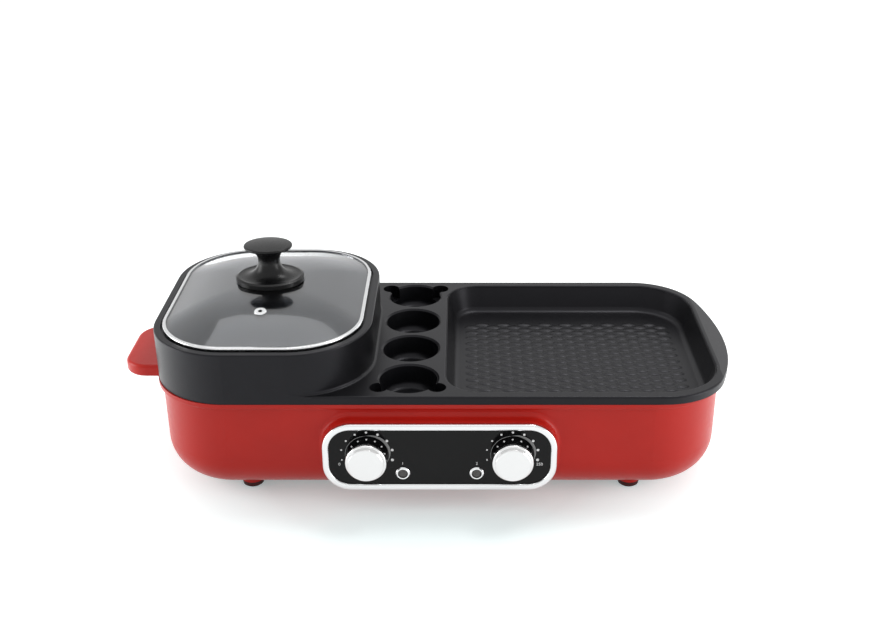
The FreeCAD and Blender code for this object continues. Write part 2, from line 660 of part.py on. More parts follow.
# ---------------------------------------------------------------- cooking plate
def seat_line(inset, z):
    """The plate's outline where it rests on the housing's lip."""
    return plan(0, LIP_LENGTH - 2 * inset, LIP_DEPTH - 2 * inset, PLATE_POT_CORNER - inset,
                PLATE_GRIDDLE_CORNER - inset, z)


def edge_line(z):
    """The plate's outer edge: its griddle end bows out into the wing that the right hand takes."""
    half = LIP_DEPTH / 2
    left = PLATE_POT_CORNER
    right = PLATE_GRIDDLE_CORNER
    bow = WING_BOW_RADIUS
    end = LIP_LENGTH / 2 + WING_REACH
    left_x = -LIP_LENGTH / 2 + left
    left_y = half - left
    right_y = half - right
    bow_x = end - bow
    right_x = bow_x + math.sqrt((bow - right) ** 2 - right_y ** 2)
    join = V(right_x - bow_x, right_y, 0) * (bow / (bow - right)) + V(bow_x, 0, 0)
    turn = math.atan2(right_y, right_x - bow_x)
    middle = (math.pi / 2 + turn) / 2
    bend = V(right_x + right * math.cos(middle), right_y + right * math.sin(middle), 0)
    round_off = left * math.sqrt(0.5)
    pot_bend = V(left_x - round_off, left_y + round_off, 0)

    def front(point):
        return V(point.x, -point.y, 0)

    edges = [Part.Arc(front(join), V(end, 0, 0), join),
             Part.Arc(join, bend, V(right_x, half, 0)),
             Part.LineSegment(V(right_x, half, 0), V(left_x, half, 0)),
             Part.Arc(V(left_x, half, 0), pot_bend, V(left_x - left, left_y, 0)),
             Part.LineSegment(V(left_x - left, left_y, 0), V(left_x - left, -left_y, 0)),
             Part.Arc(V(left_x - left, -left_y, 0), front(pot_bend), V(left_x, -half, 0)),
             Part.LineSegment(V(left_x, -half, 0), V(right_x, -half, 0)),
             Part.Arc(V(right_x, -half, 0), front(bend), front(join))]
    return Part.Wire([edge.toShape() for edge in edges]).translated(Z_AXIS * z)


def pot_plan(inset, z):
    corner = PLATE_POT_CORNER - inset
    return outline(POT_LEFT + inset, POT_RIGHT - inset, POT_FRONT + inset, POT_BACK - inset,
                   corner, corner, z)


def griddle_plan(inset, z):
    return plan(GRIDDLE_X, GRIDDLE_LENGTH - 2 * inset, GRIDDLE_OPENING_DEPTH - 2 * inset,
                GRIDDLE_LEFT_CORNER - inset, GRIDDLE_RIGHT_CORNER - inset, z)


def pot_block():
    """The pot's outer wall with a cove at its foot, which ends along the plate's edge."""
    foot = pot_plan(-POT_FOOT_COVE, DECK_Z - DECK_THICKNESS)
    wall = pot_plan(0, DECK_Z - DECK_THICKNESS)
    pedestal = prism(foot, DECK_THICKNESS).fuse(prism(wall, DECK_THICKNESS + POT_RIM_HEIGHT))
    pedestal = round_on(pedestal, POT_FOOT_COVE - 2 * TOUCH, pot_plan(0, DECK_Z))
    pedestal = round_on(pedestal, POT_RIM_EDGE, pot_plan(0, RIM_Z))
    return pedestal.common(prism(edge_line(PLATE_Z), BAND_HEIGHT + POT_RIM_HEIGHT + CUT))


def pot_bowl(wall):
    """The pot's inner space, or with a wall its outer shape, under the lid's ledge."""
    inset = POT_MOUTH_INSET + LID_LEDGE_WIDTH - wall
    low = pot_plan(inset + POT_DRAFT, POT_FLOOR_Z - wall)
    bowl = taper(low, pot_plan(inset, LEDGE_Z))
    edge = POT_FLOOR_EDGE
    return bevel_on(bowl, edge * BEVEL_SHARE, low) if wall else round_on(bowl, edge, low)


def griddle_bowl(wall):
    low = griddle_plan(GRIDDLE_DRAFT - wall, GRIDDLE_FLOOR_Z - wall)
    bowl = taper(low, griddle_plan(-wall, DECK_Z))
    edge = GRIDDLE_FLOOR_EDGE
    return bevel_on(bowl, edge * BEVEL_SHARE, low) if wall else round_on(bowl, edge, low)


def griddle_mouth():
    """Rounds the griddle's upper edge."""
    edge = GRIDDLE_MOUTH_EDGE
    neck = griddle_plan(0, DECK_Z)
    top = prism(griddle_plan(-edge, DECK_Z), CUT).fuse(prism(neck.translated(V(0, 0, -edge)), edge + CUT))
    return round_on(top, edge - 2 * TOUCH, neck)


def cup_places():
    first = -CUP_PITCH * (CUP_COUNT - 1) / 2
    for number in range(CUP_COUNT):
        yield V(CUP_X, first + number * CUP_PITCH, DECK_Z)


def cup(place, wall, mouth):
    """One egg cup; the two outer cups have a pair of finger notches."""
    radius = CUP_RADIUS + wall
    depth = CUP_DEPTH + wall
    edge = CUP_FLOOR_EDGE * BEVEL_SHARE if wall else CUP_FLOOR_EDGE
    profile = [(0, -depth), (radius - CUP_DRAFT, -depth, edge), (radius, 0), (0, 0)]
    solid = turned(profile, place, Z_AXIS, not wall)
    if mouth:
        ring = [(0, -mouth), (radius, -mouth), (radius + mouth, 0), (radius + mouth, CUT), (0, CUT)]
        solid = solid.fuse(turned(ring, place, Z_AXIS))
    if abs(place.y) > CUP_PITCH:
        away = CUP_RADIUS + NOTCH_REACH
        angle = math.radians(NOTCH_ANGLE)
        y = math.copysign(away * math.sin(angle), place.y)
        for x in (-away * math.cos(angle), away * math.cos(angle)):
            centre = place + V(x, y, 0)
            low = centre - Z_AXIS * (NOTCH_DEPTH + wall)
            solid = solid.fuse(rod(NOTCH_RADIUS + wall, low, centre + Z_AXIS * mouth))
    return solid


def wing_slope():
    """What the slope of the wing's top takes away."""
    root = LIP_LENGTH / 2 - WING_ROOT
    run = WING_REACH + WING_ROOT
    half = LIP_DEPTH / 2
    section = [V(root, -half, DECK_Z), V(root + 2 * run, -half, DECK_Z - 2 * WING_DROP),
               V(root + 2 * run, -half, RIM_Z), V(root, -half, RIM_Z)]
    return Part.Face(Part.makePolygon(section + section[:1])).extrude(V(0, 2 * half, 0))


def cooking_plate():
    band = round_on(prism(edge_line(PLATE_Z), BAND_HEIGHT), BAND_EDGE, edge_line(DECK_Z))
    plate = band.cut(wing_slope())
    plate = plate.fuse(pot_block())
    under_deck = prism(seat_line(BAND_WALL, PLATE_Z - CUT), BAND_HEIGHT - DECK_THICKNESS + CUT)
    under_pot = prism(pot_plan(POT_SKIRT, PLATE_Z - CUT), LEDGE_Z - CAST_WALL - PLATE_Z + CUT)
    plate = plate.cut([under_deck, under_pot])
    bowls = [pot_bowl(CAST_WALL), griddle_bowl(CAST_WALL)]
    bowls += [cup(place, CAST_WALL, 0) for place in cup_places()]
    room = bowl_room()
    plate = plate.fuse([bowl.common(room) for bowl in bowls])
    spaces = [pot_bowl(0), griddle_bowl(0), griddle_mouth()]
    spaces.append(prism(pot_plan(POT_MOUTH_INSET, LEDGE_Z), RIM_Z - LEDGE_Z + CUT))
    spaces += [cup(place, 0, CUP_MOUTH_EDGE) for place in cup_places()]
    return plate.cut(spaces)


def bowl_room():
    """The room inside the housing for the cast bowls, up to the pot's rim."""
    inset = HOUSING_WALL + BOWL_GAP
    low = slab(0, HOUSING_LENGTH - 2 * inset, HOUSING_DEPTH - 2 * inset, HOUSING_CORNER - inset, 0, PLATE_Z)
    return low.fuse(slab(0, LIP_LENGTH - 2 * CUT, LIP_DEPTH - 2 * CUT, LIP_CORNER - CUT, PLATE_Z, RIM_Z))


# ---------------------------------------------------------------- lid
def lid_plan(inset, z):
    return pot_plan(LID_INSET + inset, z)


def glass_dome(z):
    """The shallow dome over the pot: sections that shrink as they rise."""
    edge = LID_INSET + LID_RING_WIDTH + GLASS_FLAT
    length = POT_RIGHT - POT_LEFT - 2 * edge
    depth = POT_BACK - POT_FRONT - 2 * edge
    wires = []
    for share, rise in DOME_SHARES:
        corner = (PLATE_POT_CORNER - edge) * share
        wire = plan(POT_X, length * share, depth * share, corner, corner, z + GLASS_CROWN * rise)
        wires.append(wire.translated(Y_AXIS * POT_Y))
    return Part.makeLoft(wires, True, False)


def vent_place():
    """Where the vent's axis meets the top of the glass, and the glass's normal there."""
    dome = glass_dome(GLASS_Z + GLASS_THICKNESS)
    step = EYELET_RADIUS / 2

    def height(x, y):
        line = Part.makeLine(V(x, y, 0), V(x, y, CROWN_Z + CUT))
        return line.common(dome).BoundBox.ZMax

    x = POT_X
    y = POT_Y + VENT_OFFSET_Y
    slope_x = (height(x + step, y) - height(x - step, y)) / (2 * step)
    slope_y = (height(x, y + step) - height(x, y - step)) / (2 * step)
    return V(x, y, height(x, y)), V(-slope_x, -slope_y, 1).normalize()


def lid_glass():
    edge = prism(lid_plan(LID_RING_WIDTH - GLASS_BITE, GLASS_Z), GLASS_THICKNESS)
    glass = edge.fuse(glass_dome(GLASS_Z + GLASS_THICKNESS)).cut(glass_dome(GLASS_Z))
    place, normal = vent_place()
    vent_low = place - normal * 2 * GLASS_THICKNESS
    vent_hole = rod(EYELET_TUBE_RADIUS + FIT_GAP, vent_low, place + normal * CUT)
    low, high = V(POT_X, POT_Y, GLASS_Z), V(POT_X, POT_Y, CROWN_Z + CUT)
    knob_hole = rod(KNOB_SCREW_RADIUS + KNOB_HOLE_GAP, low, high)
    return glass.cut([vent_hole, knob_hole])


def lid_rim():
    """The rolled ring that grips the glass all round."""
    line = lid_plan(0, LID_Z)
    ring = round_on(prism(line, LID_RING_HEIGHT), LID_RING_EDGE, line.translated(Z_AXIS * LID_RING_HEIGHT))
    opening = prism(lid_plan(LID_RING_WIDTH, LID_Z - CUT), LID_RING_HEIGHT + 2 * CUT)
    bite = LID_RING_WIDTH - GLASS_BITE - GLASS_GAP
    slot = prism(lid_plan(bite, GLASS_Z - GLASS_GAP), GLASS_THICKNESS + 2 * GLASS_GAP)
    return ring.cut([opening, slot])


def curve(start, *steps):
    """A closed face in the XZ plane: a step is a point, or an arc's middle and end."""
    def at(point):
        return V(point[0], 0, point[1])

    edges = []
    last = at(start)
    for step in list(steps) + [start]:
        if isinstance(step[0], tuple):
            middle, end = at(step[0]), at(step[1])
            edges.append(Part.Arc(last, middle, end).toShape())
        else:
            end = at(step)
            edges.append(Part.makeLine(last, end))
        last = end
    return Part.Face(Part.Wire(edges))


def lid_knob():
    """A waisted knob, turned and then drawn in to an oval."""
    flange = KNOB_FLANGE_RADIUS
    neck = KNOB_NECK_RADIUS
    top = KNOB_TOP_RADIUS
    rim = KNOB_FLANGE_HEIGHT
    under = KNOB_HEIGHT - KNOB_TOP_THICKNESS
    waist = rim + KNOB_WAIST_RISE
    edge = top - KNOB_TOP_EDGE
    dome = (edge ** 2 + KNOB_TOP_RISE ** 2) / (2 * KNOB_TOP_RISE)

    def crown(x):
        return dome - math.sqrt(dome ** 2 - x ** 2)

    brim = flange - 2 * KNOB_FLANGE_EDGE
    low_bend = V(neck + KNOB_FLANGE_SLOPE, rim + (waist - rim) * KNOB_LOW_BEND, 0)
    high_bend = V(neck + (top - neck) * KNOB_FLARE, waist + (under - waist) * KNOB_HIGH_BEND, 0)
    face = curve((0, 0), (flange, 0), (flange, rim - KNOB_FLANGE_EDGE), (brim, rim),
                 ((low_bend.x, low_bend.y), (neck, waist)), ((high_bend.x, high_bend.y), (edge, under)),
                 ((top, (under + KNOB_HEIGHT - KNOB_TOP_RISE) / 2), (edge, KNOB_HEIGHT - KNOB_TOP_RISE)),
                 ((top / 2, KNOB_HEIGHT - crown(top / 2)), (0, KNOB_HEIGHT)))
    oval = FreeCAD.Matrix()
    oval.scale(1, KNOB_OVAL, 1)
    knob = face.revolve(V(0, 0, 0), Z_AXIS, 360).transformGeometry(oval)
    knob = knob.cut(rod(KNOB_SCREW_RADIUS + SCREW_GAP, V(0, 0, -CUT), V(0, 0, KNOB_SCREW_LENGTH)))
    return knob.translated(V(POT_X, POT_Y, CROWN_Z))


def lid():
    save("lid_glass", lid_glass())
    save("lid_rim", lid_rim())
    save("lid_knob", lid_knob())
    under = V(POT_X, POT_Y, CROWN_Z - GLASS_THICKNESS)
    head = under - Z_AXIS * KNOB_WASHER_THICKNESS
    shank = KNOB_SCREW_RADIUS
    washer = rod(KNOB_WASHER_RADIUS, head, under)
    save("lid_knob_washer", washer.cut(rod(shank + FIT_GAP, head - Z_AXIS, under + Z_AXIS)))
    save("lid_knob_screw", screw(head, Z_AXIS, KNOB_SCREW_LENGTH, shank, 2 * shank))
    bore = EYELET_BORE_RADIUS
    tube_radius = EYELET_TUBE_RADIUS
    low = -GLASS_THICKNESS - EYELET_LIFT
    foot = EYELET_RADIUS - EYELET_STEP
    lip = EYELET_FLANGE
    profile = [(bore, low - lip), (bore, lip), (EYELET_RADIUS, lip, EYELET_EDGE), (EYELET_RADIUS, 0),
               (tube_radius, 0), (tube_radius, low), (foot, low), (foot, low - lip)]
    place, normal = vent_place()
    save("vent_eyelet", turned(profile, place + normal * EYELET_LIFT, normal))


# ---------------------------------------------------------------- front panel
def panel():
    front = POD_Y - BEZEL_THICKNESS
    outer = panel_outline(POD_LENGTH, POD_HEIGHT, POD_CORNER, front)
    bezel = Part.Face(outer).extrude(V(0, BEZEL_THICKNESS, 0))
    width = BEZEL_WIDTH
    window = panel_outline(POD_LENGTH - 2 * width, POD_HEIGHT - 2 * width, POD_CORNER - width, front)
    bezel = bezel.cut(Part.Face(window).extrude(V(0, BEZEL_THICKNESS, 0)))
    bezel = round_on(bezel, BEZEL_EDGE, outer, window)
    lap = BEZEL_WIDTH - BEZEL_LAP
    rebate = panel_slab(POD_LENGTH - 2 * lap, POD_HEIGHT - 2 * lap, POD_CORNER - lap,
                        FASCIA_Y - FIT_GAP, POD_Y + CUT)
    scallops = [rod(DIAL_SCALLOP_RADIUS, V(place.x, front - CUT, DIAL_Z), place) for place in dial_places()]
    save("panel_bezel", bezel.cut([rebate] + scallops))
    lap += FIT_GAP
    fascia = panel_slab(POD_LENGTH - 2 * lap, POD_HEIGHT - 2 * lap, POD_CORNER - lap, FASCIA_Y, POD_Y)
    through = Y_AXIS * (FASCIA_THICKNESS + CUT)
    holes = [rod(DIAL_HOLE_RADIUS, place - Y_AXIS, place + through) for place in dial_places()]
    holes += [rod(LAMP_TUBE_RADIUS + FIT_GAP, place - Y_AXIS, place + through) for place in lamp_places()]
    save("control_fascia", fascia.cut(holes))


def dial_places():
    for side in (-1, 1):
        yield V(side * DIAL_SPAN / 2, FASCIA_Y, DIAL_Z)


def lamp_places():
    for side in (-1, 1):
        yield V(side * LAMP_SPAN / 2, FASCIA_Y, LAMP_Z)


def lamps():
    lens = LAMP_LENS_RADIUS
    bore = lens + FIT_GAP / 2
    back = -FASCIA_THICKNESS - POD_FRONT_WALL - LAMP_TUBE_TAIL
    top = LAMP_RING_THICKNESS
    for zone, place in zip(ZONES, lamp_places()):
        ring = [(bore, back), (bore, top), (LAMP_RING_RADIUS, top, LAMP_RING_EDGE),
                (LAMP_RING_RADIUS, 0), (LAMP_TUBE_RADIUS, 0), (LAMP_TUBE_RADIUS, back)]
        save(zone + "_lamp_bezel", turned(ring, place, -Y_AXIS))
        front = top - LAMP_LENS_SETBACK
        seat = top - LAMP_LENS_LENGTH
        face = [(0, seat), (lens, seat), (lens, front, LAMP_RING_EDGE), (0, front)]
        save(zone + "_lamp_lens", turned(face, place, -Y_AXIS))
        lamp_front = place - Y_AXIS * seat
        save(zone + "_lamp", rod(lens, lamp_front, lamp_front + Y_AXIS * LAMP_BODY_LENGTH))


# ---------------------------------------------------------------- dials
def flatted(radius, start, end):
    """A round shaft along Y with one flat along its top."""
    shaft = rod(radius, start, end)
    top = start.z + radius - SHAFT_FLAT
    low, high = sorted((start.y, end.y))
    return shaft.cut(block(start.x - radius, start.x + radius, low - CUT, high + CUT, top, top + radius))


def thermostat(x):
    back = POD_Y + POD_FRONT_WALL
    centre = V(x, back, DIAL_Z)
    half = THERMOSTAT_WIDTH / 2
    tall = THERMOSTAT_HEIGHT / 2
    body = block(x - half, x + half, back, back + THERMOSTAT_PLATE, DIAL_Z - tall, DIAL_Z + tall)
    body = body.fuse(rod(BUSH_RADIUS, centre - Y_AXIS * BUSH_LENGTH, centre + Y_AXIS))
    stack_back = back + THERMOSTAT_PLATE + THERMOSTAT_STACK_LENGTH
    body = body.fuse(rod(THERMOSTAT_STACK_RADIUS, centre, V(x, stack_back, DIAL_Z)))
    root = THERMOSTAT_STACK_RADIUS - BLADE_ROOT
    for side, setback in ((-1, BLADE_SETBACK), (1, BLADE_SETBACK + BLADE_STEP)):
        reach = sorted((x + side * root, x + side * (root + BLADE_LENGTH)))
        y = stack_back - setback
        body = body.fuse(block(reach[0], reach[1], y, y + THERMOSTAT_BLADE, DIAL_Z - BLADE_WIDTH / 2,
                               DIAL_Z + BLADE_WIDTH / 2))
    bore_end = DIAL_BACK_Y - SHAFT_GRIP + SHAFT_LENGTH + SEAT_GAP
    bore_start = V(x, FASCIA_Y - BUSH_LENGTH, DIAL_Z)
    return body.cut(rod(SHAFT_RADIUS + SHAFT_GAP, bore_start, V(x, bore_end, DIAL_Z)))


def hex_nut(centre):
    """A hexagon across flats NUT_WIDTH, on a corner."""
    sides = 6
    points = []
    reach = NUT_WIDTH / 2 / math.cos(math.pi / sides)
    for number in range(sides + 1):
        angle = 2 * math.pi * number / sides
        points.append(V(reach * math.cos(angle), 0, reach * math.sin(angle)) + centre)
    nut = Part.Face(Part.makePolygon(points)).extrude(V(0, -NUT_THICKNESS, 0))
    far = centre - Y_AXIS * (NUT_THICKNESS + CUT)
    return nut.cut(rod(BUSH_RADIUS + SCREW_GAP, centre + Y_AXIS, far))


def dial_knob(back):
    """The knob's neck and head, with a hub recess that clears the nut."""
    neck = DIAL_NECK_LENGTH
    inset = DIAL_CAP_WALL + SCREW_GAP
    head = DIAL_CAP_RADIUS - inset
    face = DIAL_FACE_RADIUS - inset
    front = neck + DIAL_CAP_LENGTH - DIAL_CAP_WALL
    step = front - DIAL_FACE_RISE
    profile = [(0, DIAL_RECESS_DEPTH), (DIAL_RECESS_RADIUS, DIAL_RECESS_DEPTH), (DIAL_RECESS_RADIUS, 0),
               (DIAL_NECK_RADIUS, 0), (DIAL_NECK_RADIUS - DIAL_NECK_DRAFT, neck), (head, neck),
               (head, step), (face, step), (face, front), (0, front)]
    socket = flatted(SHAFT_RADIUS + SCREW_GAP, back - Y_AXIS * (SHAFT_GRIP + SCREW_GAP), back)
    return turned(profile, back, -Y_AXIS).cut(socket)


def dial_cap(back):
    """The plated cap over the head: a skirt with a rounded edge and a raised round face."""
    neck = DIAL_NECK_LENGTH
    wall = DIAL_CAP_WALL
    skirt = DIAL_CAP_RADIUS
    face = DIAL_FACE_RADIUS
    edge = DIAL_FACE_EDGE
    front = neck + DIAL_CAP_LENGTH
    step = front - DIAL_FACE_RISE
    profile = [(skirt - wall, neck), (skirt, neck), (skirt, step, DIAL_CAP_EDGE), (face, step),
               (face, front - edge), (face - edge, front), (0, front), (0, front - wall),
               (face - wall, front - wall), (face - wall, step - wall), (skirt - wall, step - wall)]
    return turned(profile, back, -Y_AXIS, True)


def dials():
    nuts = []
    for zone, place in zip(ZONES, dial_places()):
        back = V(place.x, DIAL_BACK_Y, DIAL_Z)
        save(zone + "_thermostat", thermostat(place.x))
        nuts.append(hex_nut(V(place.x, POD_Y, DIAL_Z)))
        tip = back - Y_AXIS * SHAFT_GRIP
        save(zone + "_shaft", flatted(SHAFT_RADIUS, tip, tip + Y_AXIS * SHAFT_LENGTH))
        save(zone + "_knob", dial_knob(back))
        save(zone + "_knob_cap", dial_cap(back))
    save("thermostat_nuts", *nuts)


# ---------------------------------------------------------------- heating
def tray_line(inset, z):
    corner = TRAY_CORNER - inset
    return plan(0, TRAY_LENGTH - 2 * inset, TRAY_DEPTH - 2 * inset, corner, corner, z)


def heater_legs(centre_x, depth):
    for side in (-1, 1):
        yield V(centre_x + side * HEATER_LEG_GAP / 2, -depth / 2, HEATER_LEG_Z)


def zones():
    yield "pot", POT_X, POT_HEATER_DEPTH, POT_HEATER_Z
    yield "griddle", GRIDDLE_X, GRIDDLE_HEATER_DEPTH, GRIDDLE_HEATER_Z


def heater(centre_x, depth, z, corners):
    """A sheathed element: its two legs rise through the tray, part and join in a level loop."""
    legs = list(heater_legs(centre_x, depth))
    level = [V(x, y, z) for x, y in corners]
    rise = [V(leg.x, leg.y, z) for leg in legs]
    points = [legs[0], rise[0]] + level + [rise[1], legs[1]]
    path = route(points, [HEATER_BEND] + [HEATER_TURN] * len(level) + [HEATER_BEND])
    wide = HEATER_WIDTH / 2
    top = HEATER_HEIGHT / 2
    keel = HEATER_KEEL / 2
    half = [(top, wide), (top - HEATER_SHOULDER, wide), (-top, keel)]
    section = [legs[0] + V(x, y, 0) for x, y in half + [(x, -y) for x, y in reversed(half)]]
    return path.makePipeShell([Part.makePolygon(section + section[:1])], True, False)


def pot_heater():
    half = POT_HEATER_LENGTH / 2
    deep = POT_HEATER_DEPTH / 2
    corners = [(POT_X - half, -deep), (POT_X - half, deep), (POT_X + half, deep), (POT_X + half, -deep)]
    return heater(POT_X, POT_HEATER_DEPTH, POT_HEATER_Z, corners)


def griddle_heater():
    half = GRIDDLE_HEATER_LENGTH / 2
    deep = GRIDDLE_HEATER_DEPTH / 2
    inner = GRIDDLE_HEATER_LOOP / 2
    middle = GRIDDLE_HEATER_MIDDLE - deep
    left = [(-half, -deep), (-half, deep), (-inner, deep), (-inner, middle)]
    right = [(-x, y) for x, y in reversed(left)]
    corners = [(GRIDDLE_X + x, y) for x, y in left + right]
    return heater(GRIDDLE_X, GRIDDLE_HEATER_DEPTH, GRIDDLE_HEATER_Z, corners)


def leg_hole(leg, gap):
    """Room for an element's leg through the tray's floor."""
    deep = HEATER_HEIGHT / 2 + gap
    wide = HEATER_WIDTH / 2 + gap
    return block(leg.x - deep, leg.x + deep, leg.y - wide, leg.y + wide, leg.z, TRAY_RIM_Z)


def reflector_tray():
    sheet = TRAY_SHEET
    under = tray_line(0, TRAY_FLOOR_Z)
    pan = bevel_on(prism(under, TRAY_RIM_Z + sheet - TRAY_FLOOR_Z), TRAY_EDGE, under)
    flange = prism(tray_line(-TRAY_FLANGE, TRAY_RIM_Z), sheet)
    floor = tray_line(sheet, TRAY_FLOOR_Z + sheet)
    inner_edge = TRAY_EDGE - sheet * (2 - math.sqrt(2))
    inside = bevel_on(prism(floor, TRAY_RIM_Z - TRAY_FLOOR_Z + CUT), inner_edge, floor)
    holes = [screw_hole(place + Z_AXIS * sheet, -Z_AXIS, sheet, SCREW_RADIUS + FIT_GAP)
             for place in post_places()]
    for zone, centre_x, depth, z in zones():
        holes += [leg_hole(leg, LEG_GAP) for leg in heater_legs(centre_x, depth)]
    return pan.fuse(flange).cut([inside] + holes)


def support(x, y, z, turn):
    """A sheet bracket on the tray's floor with a notch that holds the element."""
    floor = TRAY_FLOOR_Z + TRAY_SHEET
    half = SUPPORT_WIDTH / 2
    sheet = SUPPORT_THICKNESS
    notch = HEATER_WIDTH / 2 + SCREW_GAP
    upright = block(-half, half, 0, sheet, floor, z)
    foot = block(-half, half, 0, SUPPORT_FOOT, floor, floor + sheet)
    slot = block(-notch, notch, -CUT, SUPPORT_FOOT, z - HEATER_HEIGHT / 2, z + HEATER_HEIGHT)
    bracket = upright.fuse(foot).removeSplitter().cut(slot)
    bracket.Placement = FreeCAD.Placement(V(x, y, 0), FreeCAD.Rotation(Z_AXIS, turn))
    return bracket


def heating():
    save("reflector_tray", reflector_tray())
    heads = [place + Z_AXIS * TRAY_SHEET for place in post_places()]
    save("tray_screws", *[screw(head, -Z_AXIS, TRAY_SCREW_LENGTH) for head in heads])
    save("pot_heater", pot_heater())
    save("griddle_heater", griddle_heater())
    half = POT_HEATER_LENGTH / 2
    z = POT_HEATER_Z
    save("pot_heater_supports", support(POT_X - half, 0, z, 0), support(POT_X + half, 0, z, 0),
         support(POT_X, POT_HEATER_DEPTH / 2, z, 90))
    half = GRIDDLE_HEATER_LENGTH / 2
    z = GRIDDLE_HEATER_Z
    middle = GRIDDLE_HEATER_MIDDLE - GRIDDLE_HEATER_DEPTH / 2
    save("griddle_heater_supports", support(GRIDDLE_X - half, 0, z, 0),
         support(GRIDDLE_X + half, 0, z, 0), support(GRIDDLE_X, middle, z, 90))
    floor = TRAY_FLOOR_Z + TRAY_SHEET
    for zone, centre_x, depth, z in zones():
        legs = list(heater_legs(centre_x, depth))
        wide = CLAMP_LENGTH / 2
        deep = CLAMP_WIDTH / 2
        y = -depth / 2
        clamp = block(centre_x - wide, centre_x + wide, y - deep, y + deep, floor, floor + CLAMP_THICKNESS)
        clamp = clamp.cut([leg_hole(leg, SCREW_GAP) for leg in legs])
        save(zone + "_heater_clamp", clamp)
        save(zone + "_heater_terminals", *[terminal(leg) for leg in legs])
        save(zone + "_thermal_cutout", cutout(centre_x))


def terminal(leg):
    stud = rod(TERMINAL_RADIUS, leg - Z_AXIS * TERMINAL_STUD, leg)
    return stud.fuse(tab(leg.x, leg.y, leg.z - TERMINAL_STUD))


def tab(x, y, z):
    """A flat push-on tab that hangs from z, its root let in above."""
    return block(x - TAB_THICKNESS / 2, x + TAB_THICKNESS / 2, y - TAB_WIDTH / 2, y + TAB_WIDTH / 2,
                 z - TAB_LENGTH, z + TAB_ROOT)


def cutout(centre_x):
    """The one-shot cut-out under the tray's floor."""
    top = V(centre_x, CUTOUT_OFFSET_Y, TRAY_FLOOR_Z)
    body = rod(CUTOUT_FLANGE_RADIUS, top - Z_AXIS * CUTOUT_FLANGE, top)
    body = body.fuse(rod(CUTOUT_RADIUS, top - Z_AXIS * CUTOUT_HEIGHT, top))
    for side in (-1, 1):
        x = centre_x + side * CUTOUT_RADIUS / 2
        body = body.fuse(tab(x, CUTOUT_OFFSET_Y, TRAY_FLOOR_Z - CUTOUT_HEIGHT))
    return body


# ---------------------------------------------------------------- mains side
def inlet_block(width, height, chamfer, front, back, grow=0.0):
    """The inlet's six-sided body, its two upper corners cut off."""
    half = width / 2 + grow
    low = INLET_Z - height / 2 - grow
    high = INLET_Z + height / 2 + grow
    points = [(-half, low), (half, low), (half, high - chamfer), (half - chamfer, high),
              (chamfer - half, high), (-half, high - chamfer)]
    wire = Part.makePolygon([V(INLET_X + x, front, z) for x, z in points + points[:1]])
    return Part.Face(wire).extrude(V(0, back - front, 0))


def inlet_screw_places():
    for x in (-INLET_SCREW_SPAN / 2, INLET_SCREW_SPAN / 2):
        yield V(INLET_X + x, REAR_Y + INLET_FLANGE_THICKNESS, INLET_Z)


def pins(grow):
    """The inlet's three flat pins, or with growth the slots that hold them."""
    floor = REAR_Y + INLET_FLANGE_THICKNESS - INLET_SOCKET_DEPTH
    tail = REAR_Y - INLET_DEPTH - PIN_TAIL
    found = []
    for x, z in ((-PIN_PITCH, -PIN_OFFSET_Z), (PIN_PITCH, -PIN_OFFSET_Z), (0, PIN_OFFSET_Z)):
        wide = PIN_THICKNESS / 2 + grow
        tall = PIN_WIDTH / 2 + grow
        found.append(block(INLET_X + x - wide, INLET_X + x + wide, tail, floor + PIN_LENGTH,
                           INLET_Z + z - tall, INLET_Z + z + tall))
    return found


def mains():
    face = REAR_Y + INLET_FLANGE_THICKNESS
    body = inlet_block(INLET_WIDTH, INLET_HEIGHT, INLET_CHAMFER, REAR_Y - INLET_DEPTH, face)
    flange_line = plan(INLET_X, INLET_FLANGE_LENGTH, INLET_FLANGE_HEIGHT, INLET_FLANGE_CORNER,
                       INLET_FLANGE_CORNER)
    flange_line.Placement = FreeCAD.Placement(V(0, face, INLET_Z), FreeCAD.Rotation(X_AXIS, 90))
    flange = Part.Face(flange_line).extrude(V(0, -INLET_FLANGE_THICKNESS, 0))
    wall = 2 * INLET_WALL
    socket = inlet_block(INLET_WIDTH - wall, INLET_HEIGHT - wall, INLET_CHAMFER - INLET_WALL / 2,
                         face - INLET_SOCKET_DEPTH, face + CUT)
    holes = [screw_hole(place, -Y_AXIS, INLET_FLANGE_THICKNESS) for place in inlet_screw_places()]
    save("power_inlet", body.fuse(flange).cut([socket] + holes + pins(SCREW_GAP)))
    save("inlet_pins", *pins(0))
    save("inlet_screws", *[screw(place, -Y_AXIS, INLET_SCREW_LENGTH) for place in inlet_screw_places()])
    save("terminal_block", terminal_block())


def pole_places():
    """Where the terminal block's bores cross its middle."""
    pitch = BLOCK_LENGTH / BLOCK_POLES
    first = BLOCK_X - pitch * (BLOCK_POLES - 1) / 2
    for number in range(BLOCK_POLES):
        yield V(first + pitch * number, BLOCK_Y, UNDERSIDE_Z + COVER_THICKNESS + BLOCK_HEIGHT / 2)


def terminal_block():
    floor = UNDERSIDE_Z + COVER_THICKNESS
    half = BLOCK_LENGTH / 2
    deep = BLOCK_WIDTH / 2
    body = block(BLOCK_X - half, BLOCK_X + half, BLOCK_Y - deep, BLOCK_Y + deep, floor, floor + BLOCK_HEIGHT)
    bores = []
    for pole in pole_places():
        across = Y_AXIS * BLOCK_WIDTH
        bores.append(rod(BLOCK_BORE_RADIUS, pole - across, pole + across))
        bores.append(rod(BLOCK_BORE_RADIUS, pole, pole + Z_AXIS * BLOCK_HEIGHT))
    return body.cut(bores)


os.makedirs("parts", exist_ok=True)
save("base_housing", base_housing())
feet()
bottom_cover()
save("cooking_plate", cooking_plate())
lid()
panel()
lamps()
dials()
heating()
mains()
